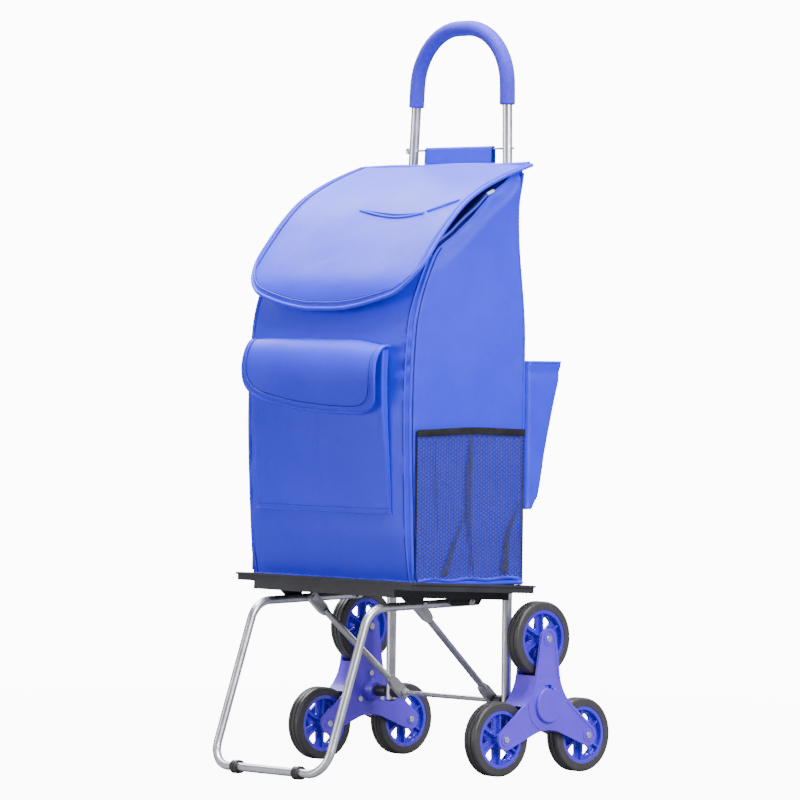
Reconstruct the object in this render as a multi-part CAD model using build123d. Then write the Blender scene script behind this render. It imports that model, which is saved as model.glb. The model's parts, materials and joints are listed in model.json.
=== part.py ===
from build123d import *
import math
import os

# Folding shopping trolley with stair-climbing wheel spiders and a flat-topped folding platform.
# Built in the axle frame: X across, Y to the back, Z up, origin on the floor under the main axle.
# save() then slides everything in Y, so the written parts stand with the middle of their box at Y = 0.
# Right is +X, front is -Y.  All lengths are millimetres and all angles degrees.

# ---- wheels and spiders ----
WHEEL_R = 51.7            # tyre outside radius, about a four inch wheel
RIM_R = 40.0              # tyre seat
RIM_IN_R = 36.6
RIM_LIP_R = 35.0
RIM_LIP_T = 2.0
TYRE_W = 22.0
TYRE_SHOULDER = 3.5
GROOVE_X = 3.4            # tread groove, from the middle of the tyre
GROOVE_HALF = 0.8
GROOVE_DEPTH = 1.2
RIM_W = 20.0
RIBS = 6
RIB_HALF_T = 1.2
RIB_FOOT = (6.0, 9.5)     # (radius, half height) where a rib meets the boss
RIB_TIP = 7.5             # half height of a rib at the rim
WINDOW_IN = (17.5, 3.2)   # (radius from the axis, round) of the narrow end of a hub window
WINDOW_OUT = (27.0, 6.6)
WEB_T = 3.0
BOSS_R = 8.5
BOSS_GAP = 0.4            # end play between a wheel boss and the spider
OVERLAP = 0.5             # how far joined shapes run into each other
ARM_LEN = 90.85           # hub to wheel centre
AXLE_Z = WHEEL_R + ARM_LEN / 2
ARM_ANGLES = {"top": 90, "front": 210, "rear": 330}
SPIDER_OUT = 204.2        # outer face of the outer shell
SPIDER_IN = 162.0         # inner face of the inner plate
PLATE_T = 4.0
SHELL_WALL = 3.0
ARM_END_R = 14.5
ARM_TAPER = 0.15
ARM_BLEND_R = 66.0
PANEL_INSET = 3.6
PANEL_DEPTH = 0.9
POCKET_R = WHEEL_R + 3.3
WHEEL_X = (SPIDER_OUT - PLATE_T + SPIDER_IN + PLATE_T) / 2
PIN_R = 3.0
PIN_HEAD_R = 4.4
PIN_HEAD_T = 1.6
RUN_FIT = 0.05            # radial clearance of every running fit
BUSH_R = 6.0
BUSH_IN = 144.0
BUSH_OUT = 199.8
BUSH_LIP_R = 8.0
BUSH_LIP_OUT = 146.8
SCREW_CIRCLE = 24.0
SCREW_R = 1.7
SCREW_HEAD_R = 4.0
SCREW_HEAD_T = 1.8
SCREW_LEN = 17.0
SCREW_HOLE_R = 1.75
SCREW_HOLE_DEPTH = 14.0
POST_R = 4.5
ARM_PAD_R = 9.0           # flat pad round each wheel pin, and the axle's counterbore
HUB_POST_R = 10.0
PANEL_HUB_R = 37.0        # the recessed arm panels stop at this radius
CONE_IN = 147.0           # inner end of the inner plate's conical boss
CONE_R = (12.0, 17.0)
PLATE_PAD_R = 7.5
PLATE_PAD_T = 0.8
CAP_R = 24.5
CAP_T = 5.2
CAP_ROUND = 1.8
LATCH_HALF = 6.0          # small window and notch above the cap
LATCH_UP = 3.0
LATCH_DOWN = 2.0

# ---- axle line ----
AXLE_R = 3.5
AXLE_HALF = 203.0
SPACER_R = 8.0
SPACERS = ((98.6, 114.0), (125.0, 143.4))   # inside and outside each handle tube
NUT_FLANGE = (6.0, 86.5, 90.4)              # radius, inner x, outer x
NUT_CROWN = (4.8, 83.0, 86.5)
WASHER = (7.5, 200.2, 201.8)

# ---- handle tube ----
TUBE_R = 7.0
TUBE_WALL = 1.2
TUBE_X = 119.5            # at the axle
TUBE_BOTTOM_Z = 86.0
TUBE_KINK_Z = 300.0
TUBE_LEAN_X = 0.0406      # inward lean of each leg above the kink
TUBE_LEAN_Y = 0.0217      # backward lean above the kink
KINK_R = 900.0
ARCH_R = 84.0
HANDLE_TOP_Z = 1039.0
GRIP_R = 11.0
GRIP_END_Z = 929.0
WIRE_Z = 868.0
WIRE_R = 1.6
WIRE_END = 5.4            # how far the wire stands out of each tube
EYE_R = 3.2
PLUG_FLANGE = 2.0
PLUG_SPIGOT = 4.0

# ---- platform ----
DECK_TILT = 2.35
DECK_REAR_Y = -6.5
DECK_REAR_Z = 261.0
DECK_HALF = 187.0
DECK_LEN = 232.4
DECK_T = 3.0
FLANGE_H = 11.0
DECK_ROUND = 5.0
RIM_SET_IN = 3.0
RIM_WALL = 3.2
RIM_FRONT = 2.0           # gap from the deck's front edge to the rim and band
BAND_HALF = 146.0
BAND_H = 22.0
BAND_T = 3.0
BAND_REAR = 15.0
REAR_CUT = (150.0, 7.5)   # half width and depth of the cut in front of the tubes
RIB_X = 124.6             # inner face of the ribs that carry the leg ears
RIB_T = 3.0
STIFFENER_T = 2.5
STIFFENER_H = 14.0
LONG_STIFFENERS = (-70, 0, 70)
CROSS_STIFFENERS = (-65, -115, -165)
CROSS_HALF = 104.0
FRONT_EAR = [(-208, 250), (-164, 250), (-166.5, 236.8), (-193, 236.8), (-206, 247.5)]
REAR_EAR = [(-126, 248), (-50, 248), (-52, 245), (-61.5, 233), (-110, 233), (-125, 246)]
HINGE_Y = -22.0
HINGE_Z = 255.0
KNUCKLE_R = 4.0
KNUCKLE_W = 7.0
KNUCKLE_STARTS = (-11.0, 4.0)   # from the middle of the tube
HINGE_PIN_R = 2.0
HINGE_PIN_HALF = 11.0
BRACKET_R = 9.2
BRACKET_H = 14.0
BRACKET_EAR_HALF = 3.0
EAR_SLOT_HALF = 3.8
RIVET_R = (3.0, 2.2)
RIVET_T = 1.6

# ---- folding leg and struts ----
LEG_R = 6.0
LEG_X = 118.0
LEG_PIVOT = (-76.4, 237.5)
STRUT_PIVOT = (-160.0, 235.3)
LEG_BEND = (-257.0, 232.7)
FOOT = (-334.6, 9.0)
LEG_END_Y = -62.0
LEG_BENDS = [36, 34]
BOLT_HEAD_R = 5.2
BOLT_HEAD_T = 3.0
SLOT_HALF = 0.7
SLOT_DEPTH = 1.2
NUT_ACROSS = 5.0          # half the size of the leg bolts' nuts, over the corners
NUT_T = 3.4
NUT_GAP = 0.6
CLIP_X = 64.0
CLIP_R = 9.8
CLIP_HALF = 5.5
CLIP_GROOVE = (2.0, 0.5, 0.8)   # place, half width and depth of the clip's grooves
CLIP_MOUTH_HALF = 3.0
STRUT_LOW_X = 94.5
STRUT_TOP_X = 107.5
STRUT_T = 7.0
STRUT_TUBE_R = 4.75
STRUT_CLIP = ((0, -8), (24, -8), (34, -5), (34, 5), (24, 8), (0, 8))
STRUT_CLIP_R = 8.0
STRUT_TUBE_START = 26.0
STRUT_TUBE_SHIFT = 1.5
STRUT_RIVET_R = 4.2
STRUT_RIVET_T = 1.8
STRUT_HEAD_R = 4.6
STRUT_HEAD_T = 1.6

# ---- bag ----
BAG_HALF = 168.0
BAG_WALL = 3.0
BAG_BACK_Y = -13.0
BASE_GAP = 0.6            # bag above the platform
BAG_FRONT_Y = -221.0      # foot of the front panel
FRONT_SWELL = [(-230, 430), (-231, 540)]
MOUTH_FRONT_Y = -226.0
MOUTH_LIFT = 60.0
RIM_CURVE = [(-226, 632), (-213, 668), (-190, 708), (-152, 748), (-107, 781), (-60, 813), (-16, 838)]
BOARD = (160.0, -215.0, -19.0, 3.0)         # half width, front, back, thickness
LID_HALF = 175.8
LID_T = 4.0
LID_CURVE = [
    (-245, 642), (-240, 664), (-226, 690), (-192, 732),
    (-148, 778), (-110, 805), (-62, 828), (-16, 846),
]
LID_BINDING_GAP = 0.05
LID_BINDING_OUT = 2.6
LID_HEM_Z = (635.5, 640.4)
LID_HEM_T = 5.5
POCKET_HALF = 141.0
POCKET_Y = (-247.0, -231.6)
POCKET_Z = (362.0, 584.0)
CLOTH_T = 2.0             # wall of the sewn pockets
FLAP_HALF = 146.0
FLAP_T = 3.0
FLAP_CURVE = [(-255, 500), (-257, 565), (-254, 590), (-244, 598), (-233, 596)]
MESH_OUT = 176.5
NET_GAP = 0.2             # net off the bag's side
NET_T = 1.5
NET_Y = (-219.0, -20.0)
NET_Z = (275.0, 471.0)
NET_BAND_TOP = 481.0
UMBRELLA_X = (130.0, 168.0)
UMBRELLA_FRONT_Y = -12.4
UMBRELLA_CURVE = [(0, 362), (16, 388), (27, 445), (46, 518), (56, 558)]
CUFF_TOP_Z = 571.0
TAB_X = (-70.0, 68.0)
TAB_LOW_Z = 826.0
TAB_TURN_R = 3.6
TAB_T = 1.6
LOOP_Z = 834.0
LOOP_HALF = 11.0
LOOP_R = 10.0
LOOP_GAP = 0.3
CORD_R = 2.0
CORD_OFF = (3.2, 4.0, 1.0)                  # cord off the rim, in x, y and z
CORD_BEND = 60.0

FRONT_REACH = FOOT[0] - CLIP_R
REAR_REACH = ARM_LEN * math.cos(math.radians(30)) + WHEEL_R
SHIFT_Y = -(FRONT_REACH + REAR_REACH) / 2


def save(name, *pieces):
    """Write one node: every piece as its own solid, slid to the stand-up origin."""
    solids = []
    for piece in pieces:
        solids.extend(piece.solids())
    moved = [Pos(0, SHIFT_Y, 0) * solid for solid in solids]
    body = moved[0] if len(moved) == 1 else Compound(children=moved)
    export_step(body, f"parts/{name}.step")


def both(piece):
    """The right-hand piece and its mirror image on the left."""
    return [piece, mirror(piece, Plane.YZ)]


def rod(radius, x0, x1, y, z):
    """Round bar along X from x0 to x1."""
    return Pos((x0 + x1) / 2, y, z) * (Rot(0, 90, 0) * Cylinder(radius, abs(x1 - x0)))


def block(x0, x1, y0, y1, z0, z1):
    """Box between two corners."""
    size = (x1 - x0, y1 - y0, z1 - z0)
    return Pos((x0 + x1) / 2, (y0 + y1) / 2, (z0 + z1) / 2) * Box(*size)


def slab(points, x0, x1):
    """Side profile of (y, z) points, extruded along X."""
    face = Plane.YZ.offset(x0) * make_face(Polyline(*points, close=True))
    return extrude(face, amount=x1 - x0)


def deck_z(y):
    """Height of the platform's top face."""
    return DECK_REAR_Z + (DECK_REAR_Y - y) * math.tan(math.radians(DECK_TILT))


def arm_point(angle, radius=ARM_LEN):
    """(y, z) at a radius from the axle along one spider arm."""
    turn = math.radians(angle)
    return radius * math.cos(turn), AXLE_Z + radius * math.sin(turn)


# ---------------------------------------------------------------- wheels
def tyre_profile():
    """Half section: tread with two grooves and round shoulders."""
    half = TYRE_W / 2
    low = WHEEL_R - GROOVE_DEPTH
    points = [(-half, RIM_R), (-half, WHEEL_R)]
    for centre in (-GROOVE_X, GROOVE_X):
        points += [(centre - GROOVE_HALF, WHEEL_R), (centre - GROOVE_HALF, low)]
        points += [(centre + GROOVE_HALF, low), (centre + GROOVE_HALF, WHEEL_R)]
    points += [(half, WHEEL_R), (half, RIM_R)]
    face = make_face(Polyline(*points, close=True))
    outer = face.vertices().group_by(Axis.Y)[-1].sort_by(Axis.X)
    return fillet([outer[0], outer[-1]], TYRE_SHOULDER)


def make_tyre():
    return revolve(tyre_profile(), Axis.X, 360)


def make_hub():
    """Rim, slotted web, six ribs and the bored boss, axis along X, centred on the origin."""
    ring = Cylinder(RIM_R, RIM_W) - Cylinder(RIM_IN_R, RIM_W)
    lips = Cylinder(RIM_R, RIM_W) - Cylinder(RIM_LIP_R, RIM_W)
    lips -= Cylinder(RIM_R, RIM_W - 2 * RIM_LIP_T)
    ends = [Pos(x, 0) * Circle(radius) for x, radius in (WINDOW_IN, WINDOW_OUT)]
    window = make_hull([edge for end in ends for edge in end.edges()])
    reach = RIM_IN_R + OVERLAP
    web = Circle(reach)
    turn = 360 / RIBS
    for step in range(RIBS):
        web -= Rot(0, 0, turn * (step + 0.5)) * window
    body = ring + lips + Pos(0, 0, -WEB_T / 2) * extrude(web, amount=WEB_T)
    boss_half = (SPIDER_OUT - SPIDER_IN) / 2 - PLATE_T - BOSS_GAP
    body += Cylinder(BOSS_R, 2 * boss_half)
    foot, foot_half = RIB_FOOT
    outline = [(foot, -foot_half), (reach, -RIB_TIP), (reach, RIB_TIP), (foot, foot_half)]
    rib = extrude(Plane.XZ * make_face(Polyline(*outline, close=True)), amount=RIB_HALF_T, both=True)
    for step in range(RIBS):
        body += Rot(0, 0, turn * step) * rib
    body -= Cylinder(PIN_R + RUN_FIT, 2 * SPIDER_OUT)
    return Rot(0, 90, 0) * body


# ---------------------------------------------------------------- spiders
def star(inset=0.0):
    """Three-armed outline around the axle in (y, z)."""
    end = ARM_END_R - inset
    slope = math.atan(ARM_TAPER)
    shoulder = (end * math.cos(slope), ARM_LEN + end * math.sin(slope))
    foot_half = shoulder[0] + shoulder[1] * ARM_TAPER
    outline = [(-shoulder[0], shoulder[1]), shoulder, (foot_half, 0), (-foot_half, 0)]
    arm = make_face(Polyline(*outline, close=True)) + Pos(0, ARM_LEN) * Circle(end)
    shape = arm
    for turn in (120, 240):
        shape += Rot(0, 0, turn) * arm
    crotch = [v for v in shape.vertices() if math.hypot(v.X, v.Y) < ARM_LEN / 2]
    return fillet(crotch, ARM_BLEND_R + inset)


def plate(shape, x0, x1):
    """Extrude a (y, z) shape about the axle line from x0 to x1."""
    return Pos(x0, 0, AXLE_Z) * extrude(Plane.YZ * shape, amount=x1 - x0)


def make_outer_shell():
    """Moulded outer half: face plate, side walls, screw posts and hub boss."""
    inner_face = SPIDER_OUT - PLATE_T
    wall_start = SPIDER_IN + PLATE_T
    panel_floor = SPIDER_OUT - PANEL_DEPTH
    body = plate(star(), inner_face, SPIDER_OUT)
    walls = plate(star() - star(SHELL_WALL), wall_start, inner_face)
    for angle in ARM_ANGLES.values():
        walls -= rod(POCKET_R, wall_start, inner_face, *arm_point(angle))
    body += walls
    panels = star(PANEL_INSET) - Circle(PANEL_HUB_R)
    body -= plate(panels, panel_floor, SPIDER_OUT)
    for angle in ARM_ANGLES.values():
        body += rod(ARM_PAD_R, panel_floor, SPIDER_OUT, *arm_point(angle))
        body -= rod(PIN_R + RUN_FIT, inner_face, SPIDER_OUT, *arm_point(angle))
        screw_at = arm_point(angle, SCREW_CIRCLE)
        post = rod(POST_R, wall_start, inner_face, *screw_at)
        body += post - rod(SCREW_HOLE_R, wall_start, wall_start + SCREW_HOLE_DEPTH, *screw_at)
    body += rod(HUB_POST_R, wall_start, inner_face, 0, AXLE_Z)
    body -= rod(BUSH_R, wall_start, BUSH_OUT, 0, AXLE_Z)
    body -= rod(ARM_PAD_R, BUSH_OUT, SPIDER_OUT, 0, AXLE_Z)
    rim_z = AXLE_Z + CAP_R
    window = block(inner_face, SPIDER_OUT, -LATCH_HALF, LATCH_HALF, rim_z - LATCH_DOWN, rim_z + LATCH_UP)
    return body - window


def make_inner_plate():
    """Moulded inner half: flat plate with a conical hub boss."""
    top = SPIDER_IN + PLATE_T
    pad = SPIDER_IN - PLATE_PAD_T
    body = plate(star(), SPIDER_IN, top)
    cone = Cone(*CONE_R, SPIDER_IN - CONE_IN)
    body += Pos((SPIDER_IN + CONE_IN) / 2, 0, AXLE_Z) * (Rot(0, 90, 0) * cone)
    body -= rod(BUSH_R, BUSH_IN, top, 0, AXLE_Z)
    for angle in ARM_ANGLES.values():
        body -= rod(PIN_R + RUN_FIT, SPIDER_IN, top, *arm_point(angle))
        body -= rod(SCREW_HOLE_R, SPIDER_IN, top, *arm_point(angle, SCREW_CIRCLE))
        ring = rod(PLATE_PAD_R, pad, SPIDER_IN, *arm_point(angle))
        body += ring - rod(PIN_R + RUN_FIT, pad, SPIDER_IN, *arm_point(angle))
    return body


def make_bush():
    body = rod(BUSH_R, BUSH_IN, BUSH_OUT, 0, AXLE_Z) + rod(BUSH_LIP_R, BUSH_IN, BUSH_LIP_OUT, 0, AXLE_Z)
    return body - rod(AXLE_R + RUN_FIT, BUSH_IN, BUSH_OUT, 0, AXLE_Z)


def make_cap():
    outer = SPIDER_OUT + CAP_T
    disc = rod(CAP_R, SPIDER_OUT, outer, 0, AXLE_Z)
    rim = disc.faces().sort_by(Axis.X)[-1].edges()
    disc = fillet(rim, CAP_ROUND)
    rim_z = AXLE_Z + CAP_R
    notch = block(SPIDER_OUT, outer, -LATCH_HALF, LATCH_HALF, rim_z - 2 * LATCH_DOWN, rim_z + LATCH_UP)
    return disc - notch


def wheel_pins():
    """Riveted wheel pins, one through each arm end."""
    pins = []
    for angle in ARM_ANGLES.values():
        where = arm_point(angle)
        inner = SPIDER_IN - PLATE_PAD_T
        pin = rod(PIN_R, inner - PIN_HEAD_T, SPIDER_OUT + PIN_HEAD_T, *where)
        pin += rod(PIN_HEAD_R, inner - PIN_HEAD_T, inner, *where)
        pins.append(pin + rod(PIN_HEAD_R, SPIDER_OUT, SPIDER_OUT + PIN_HEAD_T, *where))
    return pins


def plate_screws():
    """Screws that hold the inner plate to the posts of the outer shell."""
    screws = []
    for angle in ARM_ANGLES.values():
        where = arm_point(angle, SCREW_CIRCLE)
        head = rod(SCREW_HEAD_R, SPIDER_IN - SCREW_HEAD_T, SPIDER_IN, *where)
        screws.append(head + rod(SCREW_R, SPIDER_IN, SPIDER_IN + SCREW_LEN, *where))
    return screws


def make_wheel_sets():
    outer = both(make_outer_shell())
    inner = both(make_inner_plate())
    bush = both(make_bush())
    cap = both(make_cap())
    tyre = make_tyre()
    hub = make_hub()
    for index, side in enumerate(("right", "left")):
        save(f"spider_shell_{side}", outer[index])
        save(f"spider_plate_{side}", inner[index])
        save(f"spider_bush_{side}", bush[index])
        save(f"hub_cap_{side}", cap[index])
        pins = [both(pin)[index] for pin in wheel_pins()]
        save(f"wheel_pins_{side}", *pins)
        screws = [both(screw)[index] for screw in plate_screws()]
        save(f"plate_screws_{side}", *screws)
        wheel_x = WHEEL_X if side == "right" else -WHEEL_X
        for place, angle in ARM_ANGLES.items():
            at = Pos(wheel_x, *arm_point(angle))
            save(f"tyre_{side}_{place}", at * tyre)
            save(f"wheel_hub_{side}_{place}", at * hub)


# ---------------------------------------------------------------- handle and axle
def tube_x_at(z):
    """Half spacing of the handle legs at a height below the arch."""
    return TUBE_X - TUBE_LEAN_X * max(z - TUBE_KINK_Z, 0)


def tube_y_at(z):
    return TUBE_LEAN_Y * max(z - TUBE_KINK_Z, 0)


def handle_bar(radius, low_z):
    """Round bar along the handle tube's centre line, from a height on one leg to the other."""
    top = (tube_x_at(HANDLE_TOP_Z), tube_y_at(HANDLE_TOP_Z), HANDLE_TOP_Z)
    half = [(tube_x_at(low_z), tube_y_at(low_z), low_z), top]
    bends = [ARCH_R]
    if low_z < TUBE_KINK_Z:
        half.insert(1, (TUBE_X, 0, TUBE_KINK_Z))
        bends.insert(0, KINK_R)
    other = [(-x, y, z) for x, y, z in reversed(half)]
    path = FilletPolyline(*half, *other, radius=bends + bends[::-1])
    start = Plane(origin=path @ 0, z_dir=path % 0)
    return sweep(start * Circle(radius), path)


def make_handle_tube():
    tube = handle_bar(TUBE_R, TUBE_BOTTOM_Z) - handle_bar(TUBE_R - TUBE_WALL, TUBE_BOTTOM_Z)
    tube -= rod(AXLE_R, -BAG_HALF, BAG_HALF, 0, AXLE_Z)
    return tube - rod(WIRE_R, -BAG_HALF, BAG_HALF, tube_y_at(WIRE_Z), WIRE_Z)


def make_grip():
    return handle_bar(GRIP_R, GRIP_END_Z) - handle_bar(TUBE_R, GRIP_END_Z)


def make_bracket():
    """Clamp round the tube with a forward ear that takes the hinge pin."""
    ring = Pos(TUBE_X, 0, HINGE_Z) * (Cylinder(BRACKET_R, BRACKET_H) - Cylinder(TUBE_R, BRACKET_H))
    x0, x1 = TUBE_X - BRACKET_EAR_HALF, TUBE_X + BRACKET_EAR_HALF
    ear = block(x0, x1, HINGE_Y, -TUBE_R - 1, HINGE_Z - KNUCKLE_R, HINGE_Z + KNUCKLE_R)
    ear += rod(KNUCKLE_R, x0, x1, HINGE_Y, HINGE_Z)
    return ring + ear - rod(HINGE_PIN_R + RUN_FIT, x0, x1, HINGE_Y, HINGE_Z)


def make_axle_line():
    save("main_axle", rod(AXLE_R, -AXLE_HALF, AXLE_HALF, 0, AXLE_Z))
    tube = Pos(TUBE_X, 0, AXLE_Z) * Cylinder(TUBE_R, 4 * SPACER_R)
    spacers = []
    for x0, x1 in SPACERS:
        ring = rod(SPACER_R, x0, x1, 0, AXLE_Z) - rod(AXLE_R, x0, x1, 0, AXLE_Z)
        spacers += both(ring - tube)
    save("axle_spacers", *spacers)
    bore = rod(AXLE_R, NUT_CROWN[1], NUT_FLANGE[2], 0, AXLE_Z)
    nut = rod(*NUT_FLANGE, 0, AXLE_Z) + rod(*NUT_CROWN, 0, AXLE_Z) - bore
    save("axle_nuts", *both(nut))
    washer = rod(*WASHER, 0, AXLE_Z) - rod(AXLE_R, *WASHER[1:], 0, AXLE_Z)
    save("axle_retainers", *both(washer))


def make_handle():
    save("handle_tube", make_handle_tube())
    save("handle_grip", make_grip())
    wire_x = tube_x_at(WIRE_Z) + TUBE_R + WIRE_END
    wire_y = tube_y_at(WIRE_Z)
    wire = rod(WIRE_R, -wire_x, wire_x, wire_y, WIRE_Z)
    eye = Pos(-wire_x, wire_y, WIRE_Z) * (Rot(90, 0, 0) * Torus(EYE_R, WIRE_R))
    save("tab_wire", wire + eye)
    plug = Pos(TUBE_X, 0, TUBE_BOTTOM_Z - PLUG_FLANGE / 2) * Cylinder(TUBE_R, PLUG_FLANGE)
    plug += Pos(TUBE_X, 0, TUBE_BOTTOM_Z + PLUG_SPIGOT / 2) * Cylinder(TUBE_R - TUBE_WALL, PLUG_SPIGOT)
    save("tube_end_plugs", *both(plug))
    save("hinge_brackets", *both(make_bracket()))
    rivet = Rot(90, 0, 0) * Cone(*RIVET_R, RIVET_T)
    save("bracket_rivets", *both(Pos(TUBE_X, BRACKET_R + RIVET_T / 2, HINGE_Z) * rivet))


# ---------------------------------------------------------------- platform
def place_deck(piece):
    return Pos(0, DECK_REAR_Y, DECK_REAR_Z) * (Rot(-DECK_TILT, 0, 0) * piece)


def make_top_and_rims():
    """The deck's plate, outer rim, deeper inner band and stiffeners, lying flat."""
    half = DECK_HALF
    low = -DECK_LEN
    top = block(-half, half, low, 0, -DECK_T, 0)
    top = fillet(top.edges().filter_by(Axis.Z), DECK_ROUND)
    edge = half - RIM_SET_IN
    front = low + RIM_FRONT
    rim = block(-edge, edge, front, -RIM_FRONT + OVERLAP, -FLANGE_H, -DECK_T)
    rim = fillet(rim.edges().filter_by(Axis.Z), DECK_ROUND - 1)
    wall = RIM_WALL
    rim -= block(-edge + wall, edge - wall, front + wall, -RIM_FRONT + OVERLAP - wall, -FLANGE_H, -DECK_T)
    band = block(-BAND_HALF, BAND_HALF, front, -BAND_REAR, -BAND_H, -DECK_T)
    inside = BAND_HALF - BAND_T
    band -= block(-inside, inside, front + BAND_T, -BAND_REAR - BAND_T, -BAND_H, -DECK_T)
    deck = top + rim + band
    start, end = front + BAND_T - 1, -BAND_REAR - 1
    for x0 in (RIB_X, -RIB_X - RIB_T):
        deck += block(x0, x0 + RIB_T, start, end, -BAND_H, -DECK_T)
    half_t = STIFFENER_T / 2
    for x in LONG_STIFFENERS:
        deck += block(x - half_t, x + half_t, start, end, -STIFFENER_H, -DECK_T)
    for y in CROSS_STIFFENERS:
        deck += block(-CROSS_HALF, CROSS_HALF, y - half_t, y + half_t, -STIFFENER_H, -DECK_T)
    cut_half, cut_depth = REAR_CUT
    return deck - block(-cut_half, cut_half, -cut_depth, 1, -FLANGE_H - 1, 1)


def make_deck():
    """Moulded platform: the flat shape set at its slope, with leg ears and hinge knuckles."""
    deck = place_deck(make_top_and_rims())
    for ear in (FRONT_EAR, REAR_EAR):
        for x0 in (RIB_X, -RIB_X - RIB_T):
            deck += slab(ear, x0, x0 + RIB_T)
    low, high = HINGE_Z - 30, HINGE_Z + 20
    for side in (-1, 1):
        centre = side * TUBE_X
        for start in KNUCKLE_STARTS:
            deck += rod(KNUCKLE_R, centre + start, centre + start + KNUCKLE_W, HINGE_Y, HINGE_Z)
        deck -= block(centre - EAR_SLOT_HALF, centre + EAR_SLOT_HALF, HINGE_Y - KNUCKLE_W, 0, low, high)
        deck -= rod(HINGE_PIN_R, centre - HINGE_PIN_HALF, centre + HINGE_PIN_HALF, HINGE_Y, HINGE_Z)
        deck -= rod(PIN_R, side * (RIB_X - 1), side * (RIB_X + RIB_T + 1), *LEG_PIVOT)
    return deck


def make_platform():
    save("platform_deck", make_deck())
    pin = rod(HINGE_PIN_R, TUBE_X - HINGE_PIN_HALF, TUBE_X + HINGE_PIN_HALF, HINGE_Y, HINGE_Z)
    save("hinge_pins", *both(pin))
    y, z = LEG_PIVOT
    face = RIB_X + RIB_T
    bolt = rod(PIN_R, LEG_X - LEG_R - 1, face, y, z)
    bolt += rod(BOLT_HEAD_R, face, face + BOLT_HEAD_T, y, z)
    slot_x = face + BOLT_HEAD_T - SLOT_DEPTH
    bolt -= block(slot_x, slot_x + SLOT_DEPTH, y - SLOT_HALF, y + SLOT_HALF, z - BOLT_HEAD_R, z + BOLT_HEAD_R)
    save("leg_bolts", *both(bolt))
    nut_x = LEG_X - LEG_R - NUT_GAP
    nut = Pos(nut_x, y, z) * (Rot(0, 90, 0) * extrude(RegularPolygon(NUT_ACROSS, 6), amount=-NUT_T))
    nut -= rod(PIN_R, nut_x - NUT_T, nut_x, y, z)
    save("leg_bolt_nuts", *both(nut))


# ---------------------------------------------------------------- leg and struts
def leg_bar(radius):
    """U-shaped leg: two rear arms, two front bends and a cross bar on the floor."""
    rise = (LEG_PIVOT[1] - STRUT_PIVOT[1]) / (LEG_PIVOT[0] - STRUT_PIVOT[0])
    end_z = LEG_PIVOT[1] + (LEG_END_Y - LEG_PIVOT[0]) * rise
    half = [(LEG_X, LEG_END_Y, end_z), (LEG_X, *LEG_BEND), (LEG_X, *FOOT)]
    other = [(-x, y, z) for x, y, z in reversed(half)]
    path = FilletPolyline(*half, *other, radius=LEG_BENDS + LEG_BENDS[::-1])
    start = Plane(origin=path @ 0, z_dir=path % 0)
    return sweep(start * Circle(radius), path)


def make_clip():
    """Ribbed rubber ring on the cross bar, open on top and flat underneath."""
    y, z = FOOT
    low, high = CLIP_X - CLIP_HALF, CLIP_X + CLIP_HALF
    ring = rod(CLIP_R, low, high, y, z) - rod(LEG_R, low, high, y, z)
    place, half, depth = CLIP_GROOVE
    for x in (CLIP_X - place, CLIP_X + place):
        groove = rod(CLIP_R, x - half, x + half, y, z)
        ring -= groove - rod(CLIP_R - depth, x - half, x + half, y, z)
    ring -= block(low, high, y - CLIP_MOUTH_HALF, y + CLIP_MOUTH_HALF, z + CLIP_MOUTH_HALF, z + CLIP_R)
    return ring - block(low, high, y - CLIP_R, y + CLIP_R, z - CLIP_R, 0)


def make_leg():
    tube = leg_bar(LEG_R) - leg_bar(LEG_R - TUBE_WALL)
    tube -= rod(PIN_R + RUN_FIT, -BAG_HALF, BAG_HALF, *LEG_PIVOT)
    tube -= rod(PIN_R, -BAG_HALF, BAG_HALF, *STRUT_PIVOT)
    save("leg_loop", tube)
    save("foot_clips", *both(make_clip()))
    outer = LEG_X + LEG_R
    rivet = rod(PIN_R, LEG_X - LEG_R, outer, *STRUT_PIVOT)
    rivet += rod(STRUT_RIVET_R, outer, outer + STRUT_RIVET_T, *STRUT_PIVOT)
    save("strut_rivets", *both(rivet))


def strut_clip(x):
    """Flattened end of a strut, with its round end on the pivot."""
    shape = make_face(Polyline(*STRUT_CLIP, close=True)) + Circle(STRUT_CLIP_R)
    return Pos(x - STRUT_T / 2, 0, 0) * extrude(Plane.YZ * shape, amount=STRUT_T)


def make_strut():
    """Tube with a channel clip at each end, from the axle up to the leg."""
    rise = STRUT_PIVOT[1] - AXLE_Z
    run = STRUT_PIVOT[0]
    length = math.hypot(rise, run)
    angle = math.degrees(math.atan2(rise, run))
    low = strut_clip(STRUT_LOW_X)
    top = Pos(0, length, 0) * (Rot(180, 0, 0) * strut_clip(STRUT_TOP_X))
    start = Vector(STRUT_LOW_X + STRUT_TUBE_SHIFT, STRUT_TUBE_START, 0)
    end = Vector(STRUT_TOP_X - STRUT_TUBE_SHIFT, length - STRUT_TUBE_START, 0)
    bar = Plane(origin=(start + end) / 2, z_dir=end - start) * Cylinder(STRUT_TUBE_R, (end - start).length)
    strut = low + top + bar
    strut -= rod(AXLE_R + RUN_FIT, STRUT_LOW_X - STRUT_T, STRUT_LOW_X + STRUT_T, 0, 0)
    return Pos(0, 0, AXLE_Z) * (Rot(angle, 0, 0) * strut)


def make_struts():
    for side, strut in zip(("right", "left"), both(make_strut())):
        save(f"strut_{side}", strut)
    inner = STRUT_TOP_X - STRUT_T / 2
    head = rod(STRUT_HEAD_R, inner - STRUT_HEAD_T, inner, *STRUT_PIVOT)
    save("strut_rivet_heads", *both(head))


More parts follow.
